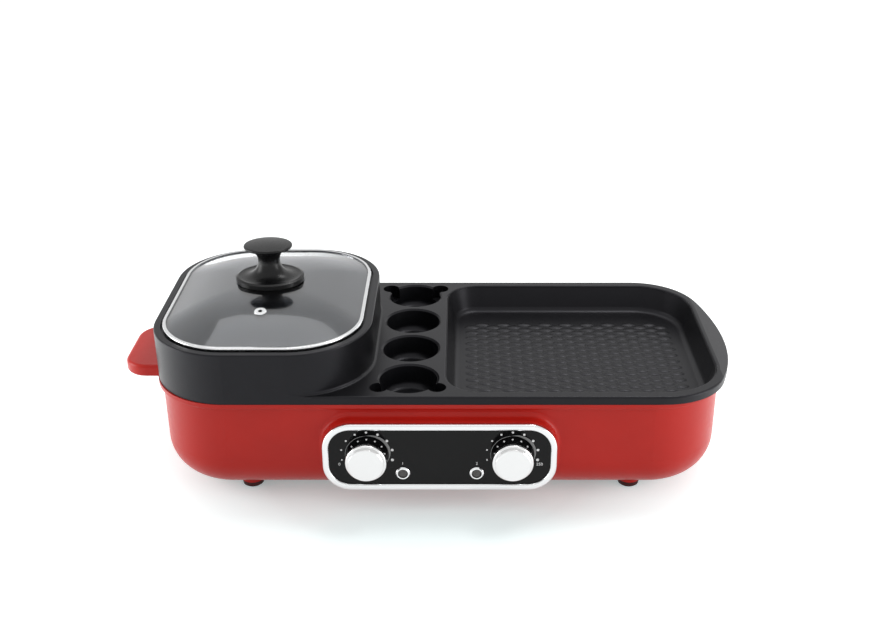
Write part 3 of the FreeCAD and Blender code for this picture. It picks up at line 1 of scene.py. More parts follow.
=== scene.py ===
"""Looks of an electric hot pot with griddle and lid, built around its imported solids."""

import math

import bmesh
import bpy
from mathutils import Matrix, Vector
from mathutils.bvhtree import BVHTree


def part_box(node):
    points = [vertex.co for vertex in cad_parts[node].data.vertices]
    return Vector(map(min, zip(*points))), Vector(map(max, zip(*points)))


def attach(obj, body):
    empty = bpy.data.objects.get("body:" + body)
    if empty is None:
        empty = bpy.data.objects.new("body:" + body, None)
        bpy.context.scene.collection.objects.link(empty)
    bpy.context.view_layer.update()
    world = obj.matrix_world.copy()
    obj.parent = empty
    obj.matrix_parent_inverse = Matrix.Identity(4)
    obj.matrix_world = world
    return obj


bl_info = {
    "name": "Electric Hot Pot with Griddle",
    "version": (1, 0, 0),
    "blender": (4, 5, 0),
    "location": "3D View > Sidebar > Hot Pot",
    "description": "Finishes, griddle pads and dial print of an electric hot pot with griddle "
                   "and lid",
    "category": "Object",
}

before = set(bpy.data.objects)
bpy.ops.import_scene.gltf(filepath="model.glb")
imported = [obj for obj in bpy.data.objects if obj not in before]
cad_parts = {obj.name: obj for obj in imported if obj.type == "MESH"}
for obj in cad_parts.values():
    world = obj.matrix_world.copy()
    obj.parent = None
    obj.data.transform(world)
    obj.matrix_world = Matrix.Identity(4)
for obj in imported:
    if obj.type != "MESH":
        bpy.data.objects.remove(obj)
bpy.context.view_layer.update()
MM = 0.001

# A colour Mix node's sockets: the two colours that go in and the one that comes out.
MIX_A, MIX_B, MIX_RESULT = 6, 7, 2
WHITE = (1, 1, 1, 1)
# What a noise's value mostly lies between, for fine grain and for broad tones.
GRAIN_LOW, GRAIN_HIGH = 0.3, 0.7
TONE_LOW, TONE_HIGH = 0.35, 0.65
# How much of a noise's finer layers shows, from 0 to 1.
GRAIN_ROUGHNESS = 0.55

# The camera's sensor in millimetres, and its sideways shift in widths of the frame.
SENSOR_WIDTH = 36
CAMERA_SHIFT = -0.0275
# Each lamp's name, place and size in metres, and the level it takes.
LAMPS = (
    ("lamp_above", (0, 0.5, 1.5), (1.4, 1.0), "above_level"),
    ("lamp_bright", (0.5, 0.35, 1.5), (0.5, 0.3), "bright_level"),
    ("lamp_behind", (1.7, 2.0, 1.3), (1.2, 1.0), "back_level"),
    ("lamp_left", (-1.05, -0.1, 0.32), (0.5, 0.6), "side_level"),
    ("lamp_right", (1.05, -0.4, 0.32), (0.5, 0.6), "side_level"),
)
# The floor's own glow: the distances in metres over which it changes, and its strength at each.
# Seen, the glow is lower near the hot pot: painted shade round its foot.
SEEN_REACH, SEEN_GLOW = (0.18, 0.28), (0.3, 0.6)
# Mirrored, it rises to the sides: a painted reflection of two low softboxes.
SIDE_REACH, SIDE_GLOW = (0.22, 0.7), (0.4, 1.6)
TINT_REACH, TINT = (0.2, 0.4), (0.82, 1, 1, 1)

# A pad is the cap of a sphere: how far up the radius it is cut, and how deep its root goes.
PAD_CUT, PAD_ROOT = 0.8, 0.3 * MM
PAD_SEGMENTS, PAD_RINGS = 12, 14
# Faces with more corners than this are a pad's flat underside.
SMOOTH_CORNERS = 4
# How level the floor is under a pad, and how many pads in from the right its height is taken.
LEVEL_WITHIN = 0.1 * MM
FLOOR_PADS_IN = 4
# A ray down to the plate starts this far above it, in metres.
RAY_RISE = 1

# The printed figures: piece, text, the node each stands by, and how far right of and above it.
FIGURE_SIZE = 4.2 * MM
FIGURE_STEPS = 4
FIGURES = (
    ("pot_scale_start", "0", "pot_knob_cap", (-26.5 * MM, -10.5 * MM)),
    ("griddle_scale_end", "250", "griddle_knob_cap", (26 * MM, -10.5 * MM)),
    ("pot_lamp_number", "1", "pot_lamp_bezel", (0, 10.4 * MM)),
    ("griddle_lamp_number", "2", "griddle_lamp_bezel", (0, 10.4 * MM)),
)
# Points of a figure that are nearer than this are merged.
SAME_POINT = 0.001 * MM
# The printed dots: how many, the degrees between them, and their radii in millimetres.
OUTER_DOTS, OUTER_STEP = 9, 25.8
OUTER_RADIUS, OUTER_GROWTH = 0.8, 0.08
INNER_DOTS, INNER_STEP = 7, 28.6
INNER_RADIUS = 0.85
DOT_SEGMENTS = 20
# The printed arcs: where the thin one ends and the crescent's middle and half, in degrees.
LINE_END, LINE_WIDTH = 104, 0.5 * MM
CRESCENT_MIDDLE, CRESCENT_HALF = 53, 62
ARC_STEPS = 40


# ---------------------------------------------------------------- colours, nodes and meshes

def linear(code):
    """An sRGB hex colour as linear red, green and blue."""
    shades = [int(code[place:place + 2], 16) / 255 for place in (1, 3, 5)]
    return [s / 12.92 if s <= 0.04045 else ((s + 0.055) / 1.055) ** 2.4 for s in shades]


def rgba(colour):
    """A colour with full alpha, as a shader socket takes it."""
    return (colour[0], colour[1], colour[2], 1.0)


def shade(colour, factor):
    """A colour made lighter or darker."""
    return [min(1.0, part * factor) for part in colour]


def add_node(tree, kind, settings=None, links=None):
    """Adds one node. Settings are its properties or its inputs' values, and links are
    (node, output) for each input."""
    node = tree.nodes.new(kind)
    for key, value in (settings or {}).items():
        if isinstance(key, str) and hasattr(node, key):
            setattr(node, key, value)
        else:
            node.inputs[key].default_value = value
    for key, (source, output) in (links or {}).items():
        tree.links.new(source.outputs[output], node.inputs[key])
    return node


def new_finish(name, colour, roughness, **sockets):
    """A material with its constants set on the Principled shader's own sockets, which are
    named here in small letters."""
    material = bpy.data.materials.new(name)
    material.use_nodes = True
    shader = material.node_tree.nodes["Principled BSDF"]
    shader.inputs["Base Color"].default_value = rgba(colour)
    shader.inputs["Roughness"].default_value = roughness
    for socket, value in sockets.items():
        label = socket.replace("_", " ").title().replace("Ior", "IOR")
        shader.inputs[label].default_value = value
    return material


def grained(material, grain, depth, detail=2.0, roughness=None, tone=None, tone_size=None,
            stretch=(1, 1, 1)):
    """Surface texture of one finish: its grain and the grain's depth in metres, the range that
    roughness varies over, and a second tone that the colour varies to in broad patches."""
    tree = material.node_tree
    shader = tree.nodes["Principled BSDF"]
    place = add_node(tree, "ShaderNodeTexCoord")
    turn = add_node(tree, "ShaderNodeMapping", {"Scale": stretch}, {"Vector": (place, "Object")})
    fine = add_node(tree, "ShaderNodeTexNoise",
                    {"Scale": 1 / grain, "Detail": detail, "Roughness": GRAIN_ROUGHNESS},
                    {"Vector": (turn, "Vector")})
    bump = add_node(tree, "ShaderNodeBump", {"Strength": 1.0, "Distance": depth},
                    {"Height": (fine, "Fac")})
    tree.links.new(bump.outputs["Normal"], shader.inputs["Normal"])
    if roughness:
        spread = add_node(tree, "ShaderNodeMapRange",
                          {"From Min": GRAIN_LOW, "From Max": GRAIN_HIGH,
                           "To Min": roughness[0], "To Max": roughness[1]},
                          {"Value": (fine, "Fac")})
        tree.links.new(spread.outputs["Result"], shader.inputs["Roughness"])
    if tone:
        first = shader.inputs["Base Color"].default_value
        broad = add_node(tree, "ShaderNodeTexNoise", {"Scale": 1 / tone_size, "Detail": 2.0},
                         {"Vector": (turn, "Vector")})
        share = add_node(tree, "ShaderNodeMapRange",
                         {"From Min": TONE_LOW, "From Max": TONE_HIGH}, {"Value": (broad, "Fac")})
        mix = add_node(tree, "ShaderNodeMix",
                       {"data_type": "RGBA", MIX_A: rgba(first), MIX_B: rgba(tone)},
                       {0: (share, "Result")})
        tree.links.new(mix.outputs[MIX_RESULT], shader.inputs["Base Color"])
    return material


def coat(material, *nodes):
    """Gives CAD nodes their finish."""
    for name in nodes:
        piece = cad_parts[name]
        if not piece.material_slots:
            piece.data.materials.append(None)
        for slot in piece.material_slots:
            slot.material = material


def new_piece(name, shape, material, body):
    """Makes a bmesh into a piece that rides on a body."""
    mesh = bpy.data.meshes.new(name)
    shape.to_mesh(mesh)
    shape.free()
    mesh.materials.append(material)
    piece = bpy.data.objects.new(name, mesh)
    bpy.context.scene.collection.objects.link(piece)
    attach(piece, body)
    return piece


# ---------------------------------------------------------------- what a user may change

class HotPotColours(bpy.types.PropertyGroup):
    body: bpy.props.FloatVectorProperty(
        name="Body", description="Colour of the moulded body", subtype="COLOR",
        default=linear("#B52017"), min=0, max=1)
    coating: bpy.props.FloatVectorProperty(
        name="Coating", description="Colour of the non-stick coating", subtype="COLOR",
        default=linear("#0A0A0C"), min=0, max=1)
    fascia: bpy.props.FloatVectorProperty(
        name="Fascia", description="Colour of the glossy control panel", subtype="COLOR",
        default=linear("#0F0F10"), min=0, max=1)
    trim: bpy.props.FloatVectorProperty(
        name="Trim", description="Colour of the plated trim", subtype="COLOR",
        default=linear("#E4E5E6"), min=0, max=1)
    dial_print: bpy.props.FloatVectorProperty(
        name="Dial print", description="Colour of the printed dots and figures", subtype="COLOR",
        default=linear("#F2F2F2"), min=0, max=1)
    glass: bpy.props.FloatVectorProperty(
        name="Glass", description="Tint of the lid's glass", subtype="COLOR",
        default=linear("#969EAA"), min=0, max=1)


class HotPotPattern(bpy.types.PropertyGroup):
    pad_pitch: bpy.props.FloatProperty(
        name="Pad pitch", description="Distance between griddle pads in a row",
        default=23.1 * MM, unit="LENGTH", min=0.005)
    pad_row: bpy.props.FloatProperty(
        name="Pad row", description="Distance between rows of griddle pads",
        default=6.7 * MM, unit="LENGTH", min=0.003)
    pad_length: bpy.props.FloatProperty(
        name="Pad length", description="Length of a griddle pad",
        default=15.6 * MM, unit="LENGTH", min=0.002)
    pad_width: bpy.props.FloatProperty(
        name="Pad width", description="Width of a griddle pad",
        default=8.8 * MM, unit="LENGTH", min=0.002)
    pad_height: bpy.props.FloatProperty(
        name="Pad height", description="How far a griddle pad stands up",
        default=1.25 * MM, unit="LENGTH", min=0.0)
    pad_back: bpy.props.FloatProperty(
        name="Pads' back row", description="The back row, behind the plate's middle",
        default=79.2 * MM, unit="LENGTH")
    pad_right: bpy.props.FloatProperty(
        name="Pads' right end", description="The end column, in from the wing's tip",
        default=40 * MM, unit="LENGTH")
    dot_ring: bpy.props.FloatProperty(
        name="Dot ring", description="Radius of the outer ring of printed dots",
        default=24.6 * MM, unit="LENGTH", min=0.01)
    dot_inner_ring: bpy.props.FloatProperty(
        name="Inner dot ring", description="Radius of the inner ring of dots",
        default=16.8 * MM, unit="LENGTH", min=0.01)
    sweep_ring: bpy.props.FloatProperty(
        name="Sweep", description="Radius of the swelling arc between the dots",
        default=20.3 * MM, unit="LENGTH", min=0.01)
    sweep_swell: bpy.props.FloatProperty(
        name="Swell", description="Width of the arc where it is widest",
        default=3.0 * MM, unit="LENGTH", min=0.0005)
    print_thickness: bpy.props.FloatProperty(
        name="Print thickness", description="How far the print stands up",
        default=0.08 * MM, unit="LENGTH", min=0.0)


class HotPotStage(bpy.types.PropertyGroup):
    eye: bpy.props.FloatVectorProperty(
        name="Camera", description="Where the camera stands", subtype="TRANSLATION",
        unit="LENGTH", default=(0.0337, -1.0528, 0.6487))
    tilt: bpy.props.FloatProperty(
        name="Tilt", description="Camera's angle up from straight down", subtype="ANGLE",
        default=math.radians(64.323))
    lens: bpy.props.FloatProperty(
        name="Lens", description="Focal length", default=47.52, unit="CAMERA", min=10)
    floor_size: bpy.props.FloatProperty(
        name="Floor", description="Side of the floor", default=14.0, unit="LENGTH")
    world_level: bpy.props.FloatProperty(
        name="Sky", description="Light from all round", default=0.6, min=0)
    above_level: bpy.props.FloatProperty(
        name="Above", description="Brightness of the lamp above", default=1.2, min=0)
    bright_level: bpy.props.FloatProperty(
        name="Bright", description="Brightness of the small lamp above", default=10, min=0)
    back_level: bpy.props.FloatProperty(
        name="Back", description="Brightness of the lamp behind", default=0.8, min=0)
    side_level: bpy.props.FloatProperty(
        name="Sides", description="Brightness of each side lamp", default=4.5, min=0)


# ---------------------------------------------------------------- pieces

class HOTPOT_OT_stage(bpy.types.Operator):
    """Sets up the camera, the floor, the lamps and the sky"""
    bl_idname = "hotpot.stage"
    bl_label = "Stage"

    def execute(self, context):
        stage = context.scene.hotpot_stage
        context.scene.view_settings.view_transform = "Standard"
        lens = bpy.data.cameras.new("camera")
        lens.lens = stage.lens
        lens.sensor_width = SENSOR_WIDTH
        lens.shift_x = CAMERA_SHIFT
        camera = bpy.data.objects.new("camera", lens)
        camera.location = stage.eye
        camera.rotation_euler = (stage.tilt, 0, 0)
        context.scene.collection.objects.link(camera)
        context.scene.camera = camera
        self.floor(context, stage)
        self.sky(context, stage)
        for name, place, size, level in LAMPS:
            self.lamp(context, name, place, size, getattr(stage, level))
        return {"FINISHED"}

    def floor(self, context, stage):
        """A pale floor that stays near white to the eye and keeps the object's shadow, deepened
        near the object by painted shade.
        """
        shape = bmesh.new()
        bmesh.ops.create_grid(shape, x_segments=1, y_segments=1, size=stage.floor_size / 2)
        mesh = bpy.data.meshes.new("floor")
        shape.to_mesh(mesh)
        shape.free()
        floor = bpy.data.objects.new("floor", mesh)
        context.scene.collection.objects.link(floor)
        # Seamless paper, uncoated: matt and pale, with almost no highlight.
        material = new_finish("studio_floor_paper", linear("#E2E6E6"), 0.6,
                              specular_ior_level=0.1)
        tree = material.node_tree
        path = add_node(tree, "ShaderNodeLightPath")
        place = add_node(tree, "ShaderNodeTexCoord")
        # To the eye it glows less near the hot pot's middle, as painted shade that darkens and
        # tightens its real shadow, and fades to white further out.
        reach = add_node(tree, "ShaderNodeVectorMath", {"operation": "LENGTH"},
                         {0: (place, "Object")})
        painted_shade_fade = add_node(tree, "ShaderNodeMapRange",
                        {"From Min": SEEN_REACH[0], "From Max": SEEN_REACH[1],
                         "To Min": SEEN_GLOW[0], "To Max": SEEN_GLOW[1]},
                        {"Value": (reach, "Value")})
        seen = add_node(tree, "ShaderNodeMath", {"operation": "MULTIPLY"},
                        {0: (path, "Is Camera Ray"), 1: (painted_shade_fade, "Result")})
        # Mirrored or through the glass it is brighter to both sides, a painted reflection of two
        # low softboxes in what mirrors it, and past white at its brightest.
        parts = add_node(tree, "ShaderNodeSeparateXYZ", {}, {0: (place, "Object")})
        side = add_node(tree, "ShaderNodeMath", {"operation": "ABSOLUTE"}, {0: (parts, "X")})
        rise = add_node(tree, "ShaderNodeMapRange",
                        {"From Min": SIDE_REACH[0], "From Max": SIDE_REACH[1],
                         "To Min": SIDE_GLOW[0], "To Max": SIDE_GLOW[1]},
                        {"Value": (side, 0)})
        mirrored = add_node(tree, "ShaderNodeMath", {"operation": "MAXIMUM"},
                            {0: (path, "Is Glossy Ray"), 1: (path, "Is Transmission Ray")})
        level = add_node(tree, "ShaderNodeMath", {"operation": "MULTIPLY_ADD"},
                         {0: (mirrored, 0), 1: (rise, "Result"), 2: (seen, 0)})
        # The body casts red on the paper beside it, and this tint takes most of it out again.
        far = add_node(tree, "ShaderNodeMapRange",
                       {"From Min": TINT_REACH[0], "From Max": TINT_REACH[1]},
                       {"Value": (reach, "Value")})
        plain = add_node(tree, "ShaderNodeMath", {"operation": "MAXIMUM"},
                         {0: (far, "Result"), 1: (mirrored, 0)})
        tint = add_node(tree, "ShaderNodeMix",
                        {"data_type": "RGBA", MIX_A: TINT, MIX_B: WHITE}, {0: (plain, 0)})
        glow = add_node(tree, "ShaderNodeEmission", {},
                        {"Strength": (level, 0), "Color": (tint, MIX_RESULT)})
        both = add_node(tree, "ShaderNodeAddShader", {},
                        {0: (tree.nodes["Principled BSDF"], "BSDF"), 1: (glow, "Emission")})
        tree.links.new(both.outputs[0], tree.nodes["Material Output"].inputs["Surface"])
        mesh.materials.append(material)

    def sky(self, context, stage):
        """White where it is seen, mirrored or shows through the glass, and a plain level
        where it lights."""
        world = bpy.data.worlds.new("studio")
        world.use_nodes = True
        context.scene.world = world
        tree = world.node_tree
        path = add_node(tree, "ShaderNodeLightPath")
        seen = add_node(tree, "ShaderNodeMath", {"operation": "MAXIMUM"},
                        {0: (path, "Is Camera Ray"), 1: (path, "Is Glossy Ray")})
        through = add_node(tree, "ShaderNodeMath", {"operation": "MAXIMUM"},
                           {0: (seen, 0), 1: (path, "Is Transmission Ray")})
        level = add_node(tree, "ShaderNodeMapRange",
                         {"To Min": stage.world_level, "To Max": 1.0}, {"Value": (through, 0)})
        background = tree.nodes["Background"]
        background.inputs["Color"].default_value = WHITE
        tree.links.new(level.outputs["Result"], background.inputs["Strength"])

    def lamp(self, context, name, place, size, level):
        """A soft lamp that faces the hot pot. Its power is its level times pi for each
        square metre of it."""
        light = bpy.data.lights.new(name, "AREA")
        light.shape = "RECTANGLE"
        light.size, light.size_y = size
        light.energy = level * math.pi * size[0] * size[1]
        lamp = bpy.data.objects.new(name, light)
        lamp.location = place
        lamp.rotation_euler = (-lamp.location).to_track_quat("-Z", "Y").to_euler()
        lamp.visible_camera = False
        context.scene.collection.objects.link(lamp)


class HOTPOT_OT_body(bpy.types.Operator):
    """Finishes the moulded body, its feet, its underside and the plated small parts"""
    bl_idname = "hotpot.body"
    bl_label = "Body"

    def execute(self, context):
        colours = context.scene.hotpot_colours
        # Phenolic or PBT, injection moulded in a polished tool: a deep even red with a faint
        # orange peel, so its highlights are soft-edged. Such plastics have an IOR of 1.5 and
        # more. It is set lower here, for a red that stays deep under a white sky.
        red = new_finish("moulded_gloss_red", colours.body, 0.3, ior=1.38,
                         specular_ior_level=0.4)
        grained(red, 5 * MM, 0.004 * MM, roughness=(0.28, 0.36), tone=shade(colours.body, 1.08),
                tone_size=60 * MM)
        coat(red, "base_housing")
        # Natural rubber, moulded matt: dark maroon with hardly a highlight.
        rubber = new_finish("moulded_maroon_rubber", linear("#3A1513"), 0.7,
                            specular_ior_level=0.3)
        grained(rubber, 0.8 * MM, 0.03 * MM, roughness=(0.62, 0.78))
        coat(rubber, "foot_1", "foot_2", "foot_3", "foot_4")
        # Zinc-plated steel sheet, rolled: dull grey with faint lengthwise streaks.
        zinc = new_finish("zinc_plated_sheet", linear("#A9ABAD"), 0.42, metallic=1.0)
        grained(zinc, 1.2 * MM, 0.01 * MM, roughness=(0.36, 0.5), stretch=(0.1, 1, 1),
                tone=linear("#9A9CA0"), tone_size=18 * MM)
        coat(zinc, "bottom_cover", "bottom_cover_screws", "foot_screws", "tray_screws",
             "inlet_screws", "griddle_heater_clamp", "pot_heater_clamp",
             "griddle_heater_supports", "pot_heater_supports", "thermostat_nuts",
             "lid_knob_screw", "lid_knob_washer", "pot_shaft", "griddle_shaft")
        return {"FINISHED"}


class HOTPOT_OT_plate(bpy.types.Operator):
    """Finishes the cast cooking plate and adds the pads on the griddle's floor"""
    bl_idname = "hotpot.plate"
    bl_label = "Cooking plate"

    def execute(self, context):
        colours = context.scene.hotpot_colours
        # Die-cast aluminium with a sprayed PTFE coating: near black with a fine sprayed grain
        # and a low sheen that grows towards grazing angles. The real grain is some 0.1 mm,
        # drawn 0.9 mm so that it shows.
        coating = new_finish("sprayed_nonstick_coating", colours.coating, 0.38, ior=1.38,
                             specular_ior_level=0.4, specular_tint=(0.93, 0.92, 1.0, 1.0))
        grained(coating, 0.9 * MM, 0.004 * MM, roughness=(0.34, 0.42),
                tone=shade(colours.coating, 1.3), tone_size=14 * MM)
        coat(coating, "cooking_plate")
        self.pads(context, coating)
        return {"FINISHED"}

    def pads(self, context, coating):
        """Low domed pads all over the griddle's flat floor, with every second row half a
        pitch over."""
        pattern = context.scene.hotpot_pattern
        low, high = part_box("cooking_plate")
        metal = bmesh.new()
        metal.from_mesh(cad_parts["cooking_plate"].data)
        plate = BVHTree.FromBMesh(metal)
        metal.free()
        half = Vector((pattern.pad_length / 2, pattern.pad_width / 2, pattern.pad_height))
        middle = (low.y + high.y) / 2
        back = middle + pattern.pad_back
        right = high.x - pattern.pad_right
        floor = self.height_under(plate, right - FLOOR_PADS_IN * pattern.pad_pitch, middle,
                                  high.z)
        pad = self.pad(half)
        shape = bmesh.new()
        for row in range(int((back - low.y) / pattern.pad_row)):
            for column in range(int((right - low.x) / pattern.pad_pitch)):
                x = right - (column + row % 2 / 2) * pattern.pad_pitch
                y = back - row * pattern.pad_row
                ends = [(x + half.x, y), (x - half.x, y), (x, y + half.y), (x, y - half.y)]
                heights = [self.height_under(plate, *end, high.z) for end in ends]
                if all(abs(height - floor) < LEVEL_WITHIN for height in heights):
                    known = len(shape.verts)
                    shape.from_mesh(pad)
                    shape.verts.ensure_lookup_table()
                    bmesh.ops.translate(shape, vec=(x, y, floor), verts=shape.verts[known:])
        bpy.data.meshes.remove(pad)
        new_piece("griddle_pads", shape, coating, "plate")

    def pad(self, half):
        """One pad: the cap of a flattened sphere, so that it meets the floor at a gentle
        slope, on a short root."""
        spread = math.sqrt(1 - PAD_CUT ** 2)
        size = Vector((half.x / spread, half.y / spread, half.z / (1 - PAD_CUT)))
        where = Matrix.Translation((0, 0, half.z - size.z)) @ Matrix.Diagonal((*size, 1))
        shape = bmesh.new()
        bmesh.ops.create_uvsphere(shape, u_segments=PAD_SEGMENTS, v_segments=PAD_RINGS,
                                  radius=1, matrix=where)
        everything = shape.verts[:] + shape.edges[:] + shape.faces[:]
        cut = bmesh.ops.bisect_plane(shape, geom=everything, plane_co=(0, 0, -PAD_ROOT),
                                     plane_no=(0, 0, -1), clear_outer=True)["geom_cut"]
        rim = [part for part in cut if isinstance(part, bmesh.types.BMEdge)]
        bmesh.ops.holes_fill(shape, edges=rim)
        for face in shape.faces:
            face.smooth = len(face.verts) <= SMOOTH_CORNERS
        mesh = bpy.data.meshes.new("pad")
        shape.to_mesh(mesh)
        shape.free()
        return mesh

    def height_under(self, plate, x, y, top):
        """Height of the plate's metal at a place, seen from above."""
        hit = plate.ray_cast(Vector((x, y, top + RAY_RISE)), Vector((0, 0, -1)))[0]
        return hit.z if hit else 0.0


class HOTPOT_OT_lid(bpy.types.Operator):
    """Finishes the glass, the rim, the knob and the vent eyelet of the lid"""
    bl_idname = "hotpot.lid"
    bl_label = "Lid"

    def execute(self, context):
        colours = context.scene.hotpot_colours
        # Tempered soda-lime glass, smoked. Real glass is clear. Here it is a little rough
        # under a clear coat, so that it softens what is under it to an even grey and still
        # mirrors the studio sharply.
        glass = new_finish("smoked_tempered_glass", colours.glass, 0.13, ior=1.52,
                           transmission_weight=1.0, coat_weight=0.65, coat_roughness=0.03)
        grained(glass, 60 * MM, 0.002 * MM, detail=0.0, roughness=(0.1, 0.16))
        coat(glass, "lid_glass")
        # Stainless steel strip, rolled and polished: bright, with very fine lengthwise lines.
        steel = new_finish("polished_stainless_strip", linear("#D9DADB"), 0.16, metallic=1.0)
        grained(steel, 0.6 * MM, 0.004 * MM, roughness=(0.12, 0.24), stretch=(1, 1, 6))
        coat(steel, "lid_rim", "vent_eyelet")
        # Phenolic resin, compression moulded and tumbled: black with a soft wide sheen.
        resin = new_finish("moulded_phenolic_black", linear("#0B0B0C"), 0.3, ior=1.5,
                           specular_ior_level=0.25)
        grained(resin, 1.6 * MM, 0.003 * MM, roughness=(0.26, 0.36), tone=linear("#111112"),
                tone_size=9 * MM)
        coat(resin, "lid_knob")
        return {"FINISHED"}


class HOTPOT_OT_panel(bpy.types.Operator):
    """Finishes the control panel, its lamps and dials, and prints the scales and figures"""
    bl_idname = "hotpot.panel"
    bl_label = "Control panel"

    def execute(self, context):
        colours = context.scene.hotpot_colours
        # ABS panel, moulded in a mirror-polished tool: black with a sharp gloss. ABS has an
        # IOR of 1.54. It is set lower here, for a black that stays deep under a white sky.
        gloss = new_finish("piano_black_abs", colours.fascia, 0.12, ior=1.3,
                           specular_ior_level=0.4)
        grained(gloss, 6 * MM, 0.004 * MM, roughness=(0.1, 0.16))
        coat(gloss, "control_fascia")
        # ABS with chrome plate, barely hazed: silver-white, a mirror with soft edges that
        # turns black where it faces the panel.
        chrome = new_finish("satin_chrome_plate", colours.trim, 0.14, metallic=1.0)
        grained(chrome, 8 * MM, 0.002 * MM, roughness=(0.12, 0.17))
        coat(chrome, "panel_bezel", "pot_lamp_bezel", "griddle_lamp_bezel")
        # ABS with bright chrome plate over a fine moulded grain: a softer mirror than the
        # trim's, nearly white from the front.
        bright = new_finish("bright_chrome_plate", linear("#E2E2E2"), 0.18, metallic=1.0)
        grained(bright, 0.7 * MM, 0.001 * MM, roughness=(0.15, 0.22))
        coat(bright, "pot_knob_cap", "griddle_knob_cap", "pot_knob", "griddle_knob")
        # Polycarbonate lens, moulded clear and tinted: dark with a small bright mirror.
        lens = new_finish("tinted_lamp_lens", linear("#5A5654"), 0.08, ior=1.58,
                          transmission_weight=0.6)
        grained(lens, 1.0 * MM, 0.02 * MM, detail=0.0)
        coat(lens, "pot_lamp_lens", "griddle_lamp_lens")
        # Epoxy ink, screen printed: matt, white for dots and figures and grey for the arcs.
        ink = new_finish("screen_printed_ink", colours.dial_print, 0.5, specular_ior_level=0.3)
        grey_ink = new_finish("screen_printed_grey_ink", linear("#8C8C8C"), 0.5,
                              specular_ior_level=0.3)
        for printed in (ink, grey_ink):
            grained(printed, 0.3 * MM, 0.005 * MM, roughness=(0.45, 0.6))
        for zone in ("pot", "griddle"):
            self.dots(context, zone, ink)
            self.sweep(context, zone, grey_ink)
        for name, text, beside, offset in FIGURES:
            self.figure(context, name, text, self.on_fascia(beside), offset, ink)
        return {"FINISHED"}

    def on_fascia(self, node):
        """Where the middle of a dial or a lamp meets the fascia's face."""
        low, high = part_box(node)
        middle = (low + high) / 2
        return Vector((middle.x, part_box("control_fascia")[0].y, middle.z))

    def figure(self, context, name, text, centre, offset, ink):
        """A plain printed figure, set off from a dial's or a lamp's middle."""
        curve = bpy.data.curves.new(name, "FONT")
        curve.body = text
        curve.size = FIGURE_SIZE
        curve.resolution_u = FIGURE_STEPS
        curve.extrude = context.scene.hotpot_pattern.print_thickness
        curve.align_x, curve.align_y = "CENTER", "CENTER"
        letter = bpy.data.objects.new(name + "_curve", curve)
        mesh = bpy.data.meshes.new_from_object(letter)
        shape = bmesh.new()
        shape.from_mesh(mesh)
        bpy.data.objects.remove(letter)
        bpy.data.curves.remove(curve)
        bpy.data.meshes.remove(mesh)
        bmesh.ops.remove_doubles(shape, verts=shape.verts[:], dist=SAME_POINT)
        where = self.upright(centre + Vector((offset[0], 0, offset[1])))
        bmesh.ops.transform(shape, verts=shape.verts[:], matrix=where)
        bmesh.ops.recalc_face_normals(shape, faces=shape.faces[:])
        new_piece(name, shape, ink, "base")

    def upright(self, where):
        """Stands a flat shape up at a place, facing the front."""
        return Matrix.Translation(where) @ Matrix.Rotation(math.radians(90), 4, "X")

    def dots(self, context, zone, ink):
        """An outer ring of growing dots round each dial and a ring of even ones inside it."""
        pattern = context.scene.hotpot_pattern
        centre = self.on_fascia(zone + "_knob_cap")
        shape = bmesh.new()
        for number in range(OUTER_DOTS):
            self.dot(shape, centre, math.radians(OUTER_STEP * (number - OUTER_DOTS // 2)),
                     pattern.dot_ring, (OUTER_RADIUS + OUTER_GROWTH * number) * MM,
                     pattern.print_thickness)
        for number in range(INNER_DOTS):
            self.dot(shape, centre, math.radians(INNER_STEP * (number - INNER_DOTS // 2)),
                     pattern.dot_inner_ring, INNER_RADIUS * MM, pattern.print_thickness)
        new_piece(zone + "_dial_dots", shape, ink, "base")

    def dot(self, shape, centre, angle, ring, radius, thickness):
        """One dot, half sunk in the fascia."""
        where = centre + Vector((ring * math.sin(angle), 0, ring * math.cos(angle)))
        bmesh.ops.create_cone(shape, cap_ends=True, segments=DOT_SEGMENTS, radius1=radius,
                              radius2=radius, depth=2 * thickness, matrix=self.upright(where))

    def sweep(self, context, zone, ink):
        """A thin arc between the two rings of dots, and a crescent that swells out of its
        right half."""
        pattern = context.scene.hotpot_pattern
        centre = self.on_fascia(zone + "_knob_cap")
        ring = pattern.sweep_ring
        shape = bmesh.new()
        line = self.arc(shape, centre, ring, -LINE_END, LINE_END)
        edge = self.arc(shape, centre, ring + LINE_WIDTH, -LINE_END, LINE_END)
        bmesh.ops.bridge_loops(shape, edges=line + edge)
        # The crescent's outer edge is the arc through its two tips and its widest point.
        tip, middle = math.radians(CRESCENT_HALF), math.radians(CRESCENT_MIDDLE)
        chord = ring * math.sin(tip)
        rise = ring * (1 - math.cos(tip)) + pattern.sweep_swell
        radius = (chord ** 2 + rise ** 2) / (2 * rise)
        out = Vector((math.sin(middle), 0, math.cos(middle)))
        reach = math.degrees(math.atan2(chord, radius - rise))
        inner = self.arc(shape, centre, ring, CRESCENT_MIDDLE - CRESCENT_HALF,
                         CRESCENT_MIDDLE + CRESCENT_HALF)
        outer = self.arc(shape, centre + out * (ring + pattern.sweep_swell - radius), radius,
                         CRESCENT_MIDDLE - reach, CRESCENT_MIDDLE + reach)
        bmesh.ops.bridge_loops(shape, edges=inner + outer)
        thick = bmesh.ops.extrude_face_region(shape, geom=shape.faces[:])["geom"]
        raised = [part for part in thick if isinstance(part, bmesh.types.BMVert)]
        bmesh.ops.translate(shape, vec=(0, -pattern.print_thickness, 0), verts=raised)
        bmesh.ops.recalc_face_normals(shape, faces=shape.faces[:])
        new_piece(zone + "_dial_sweep", shape, ink, "base")

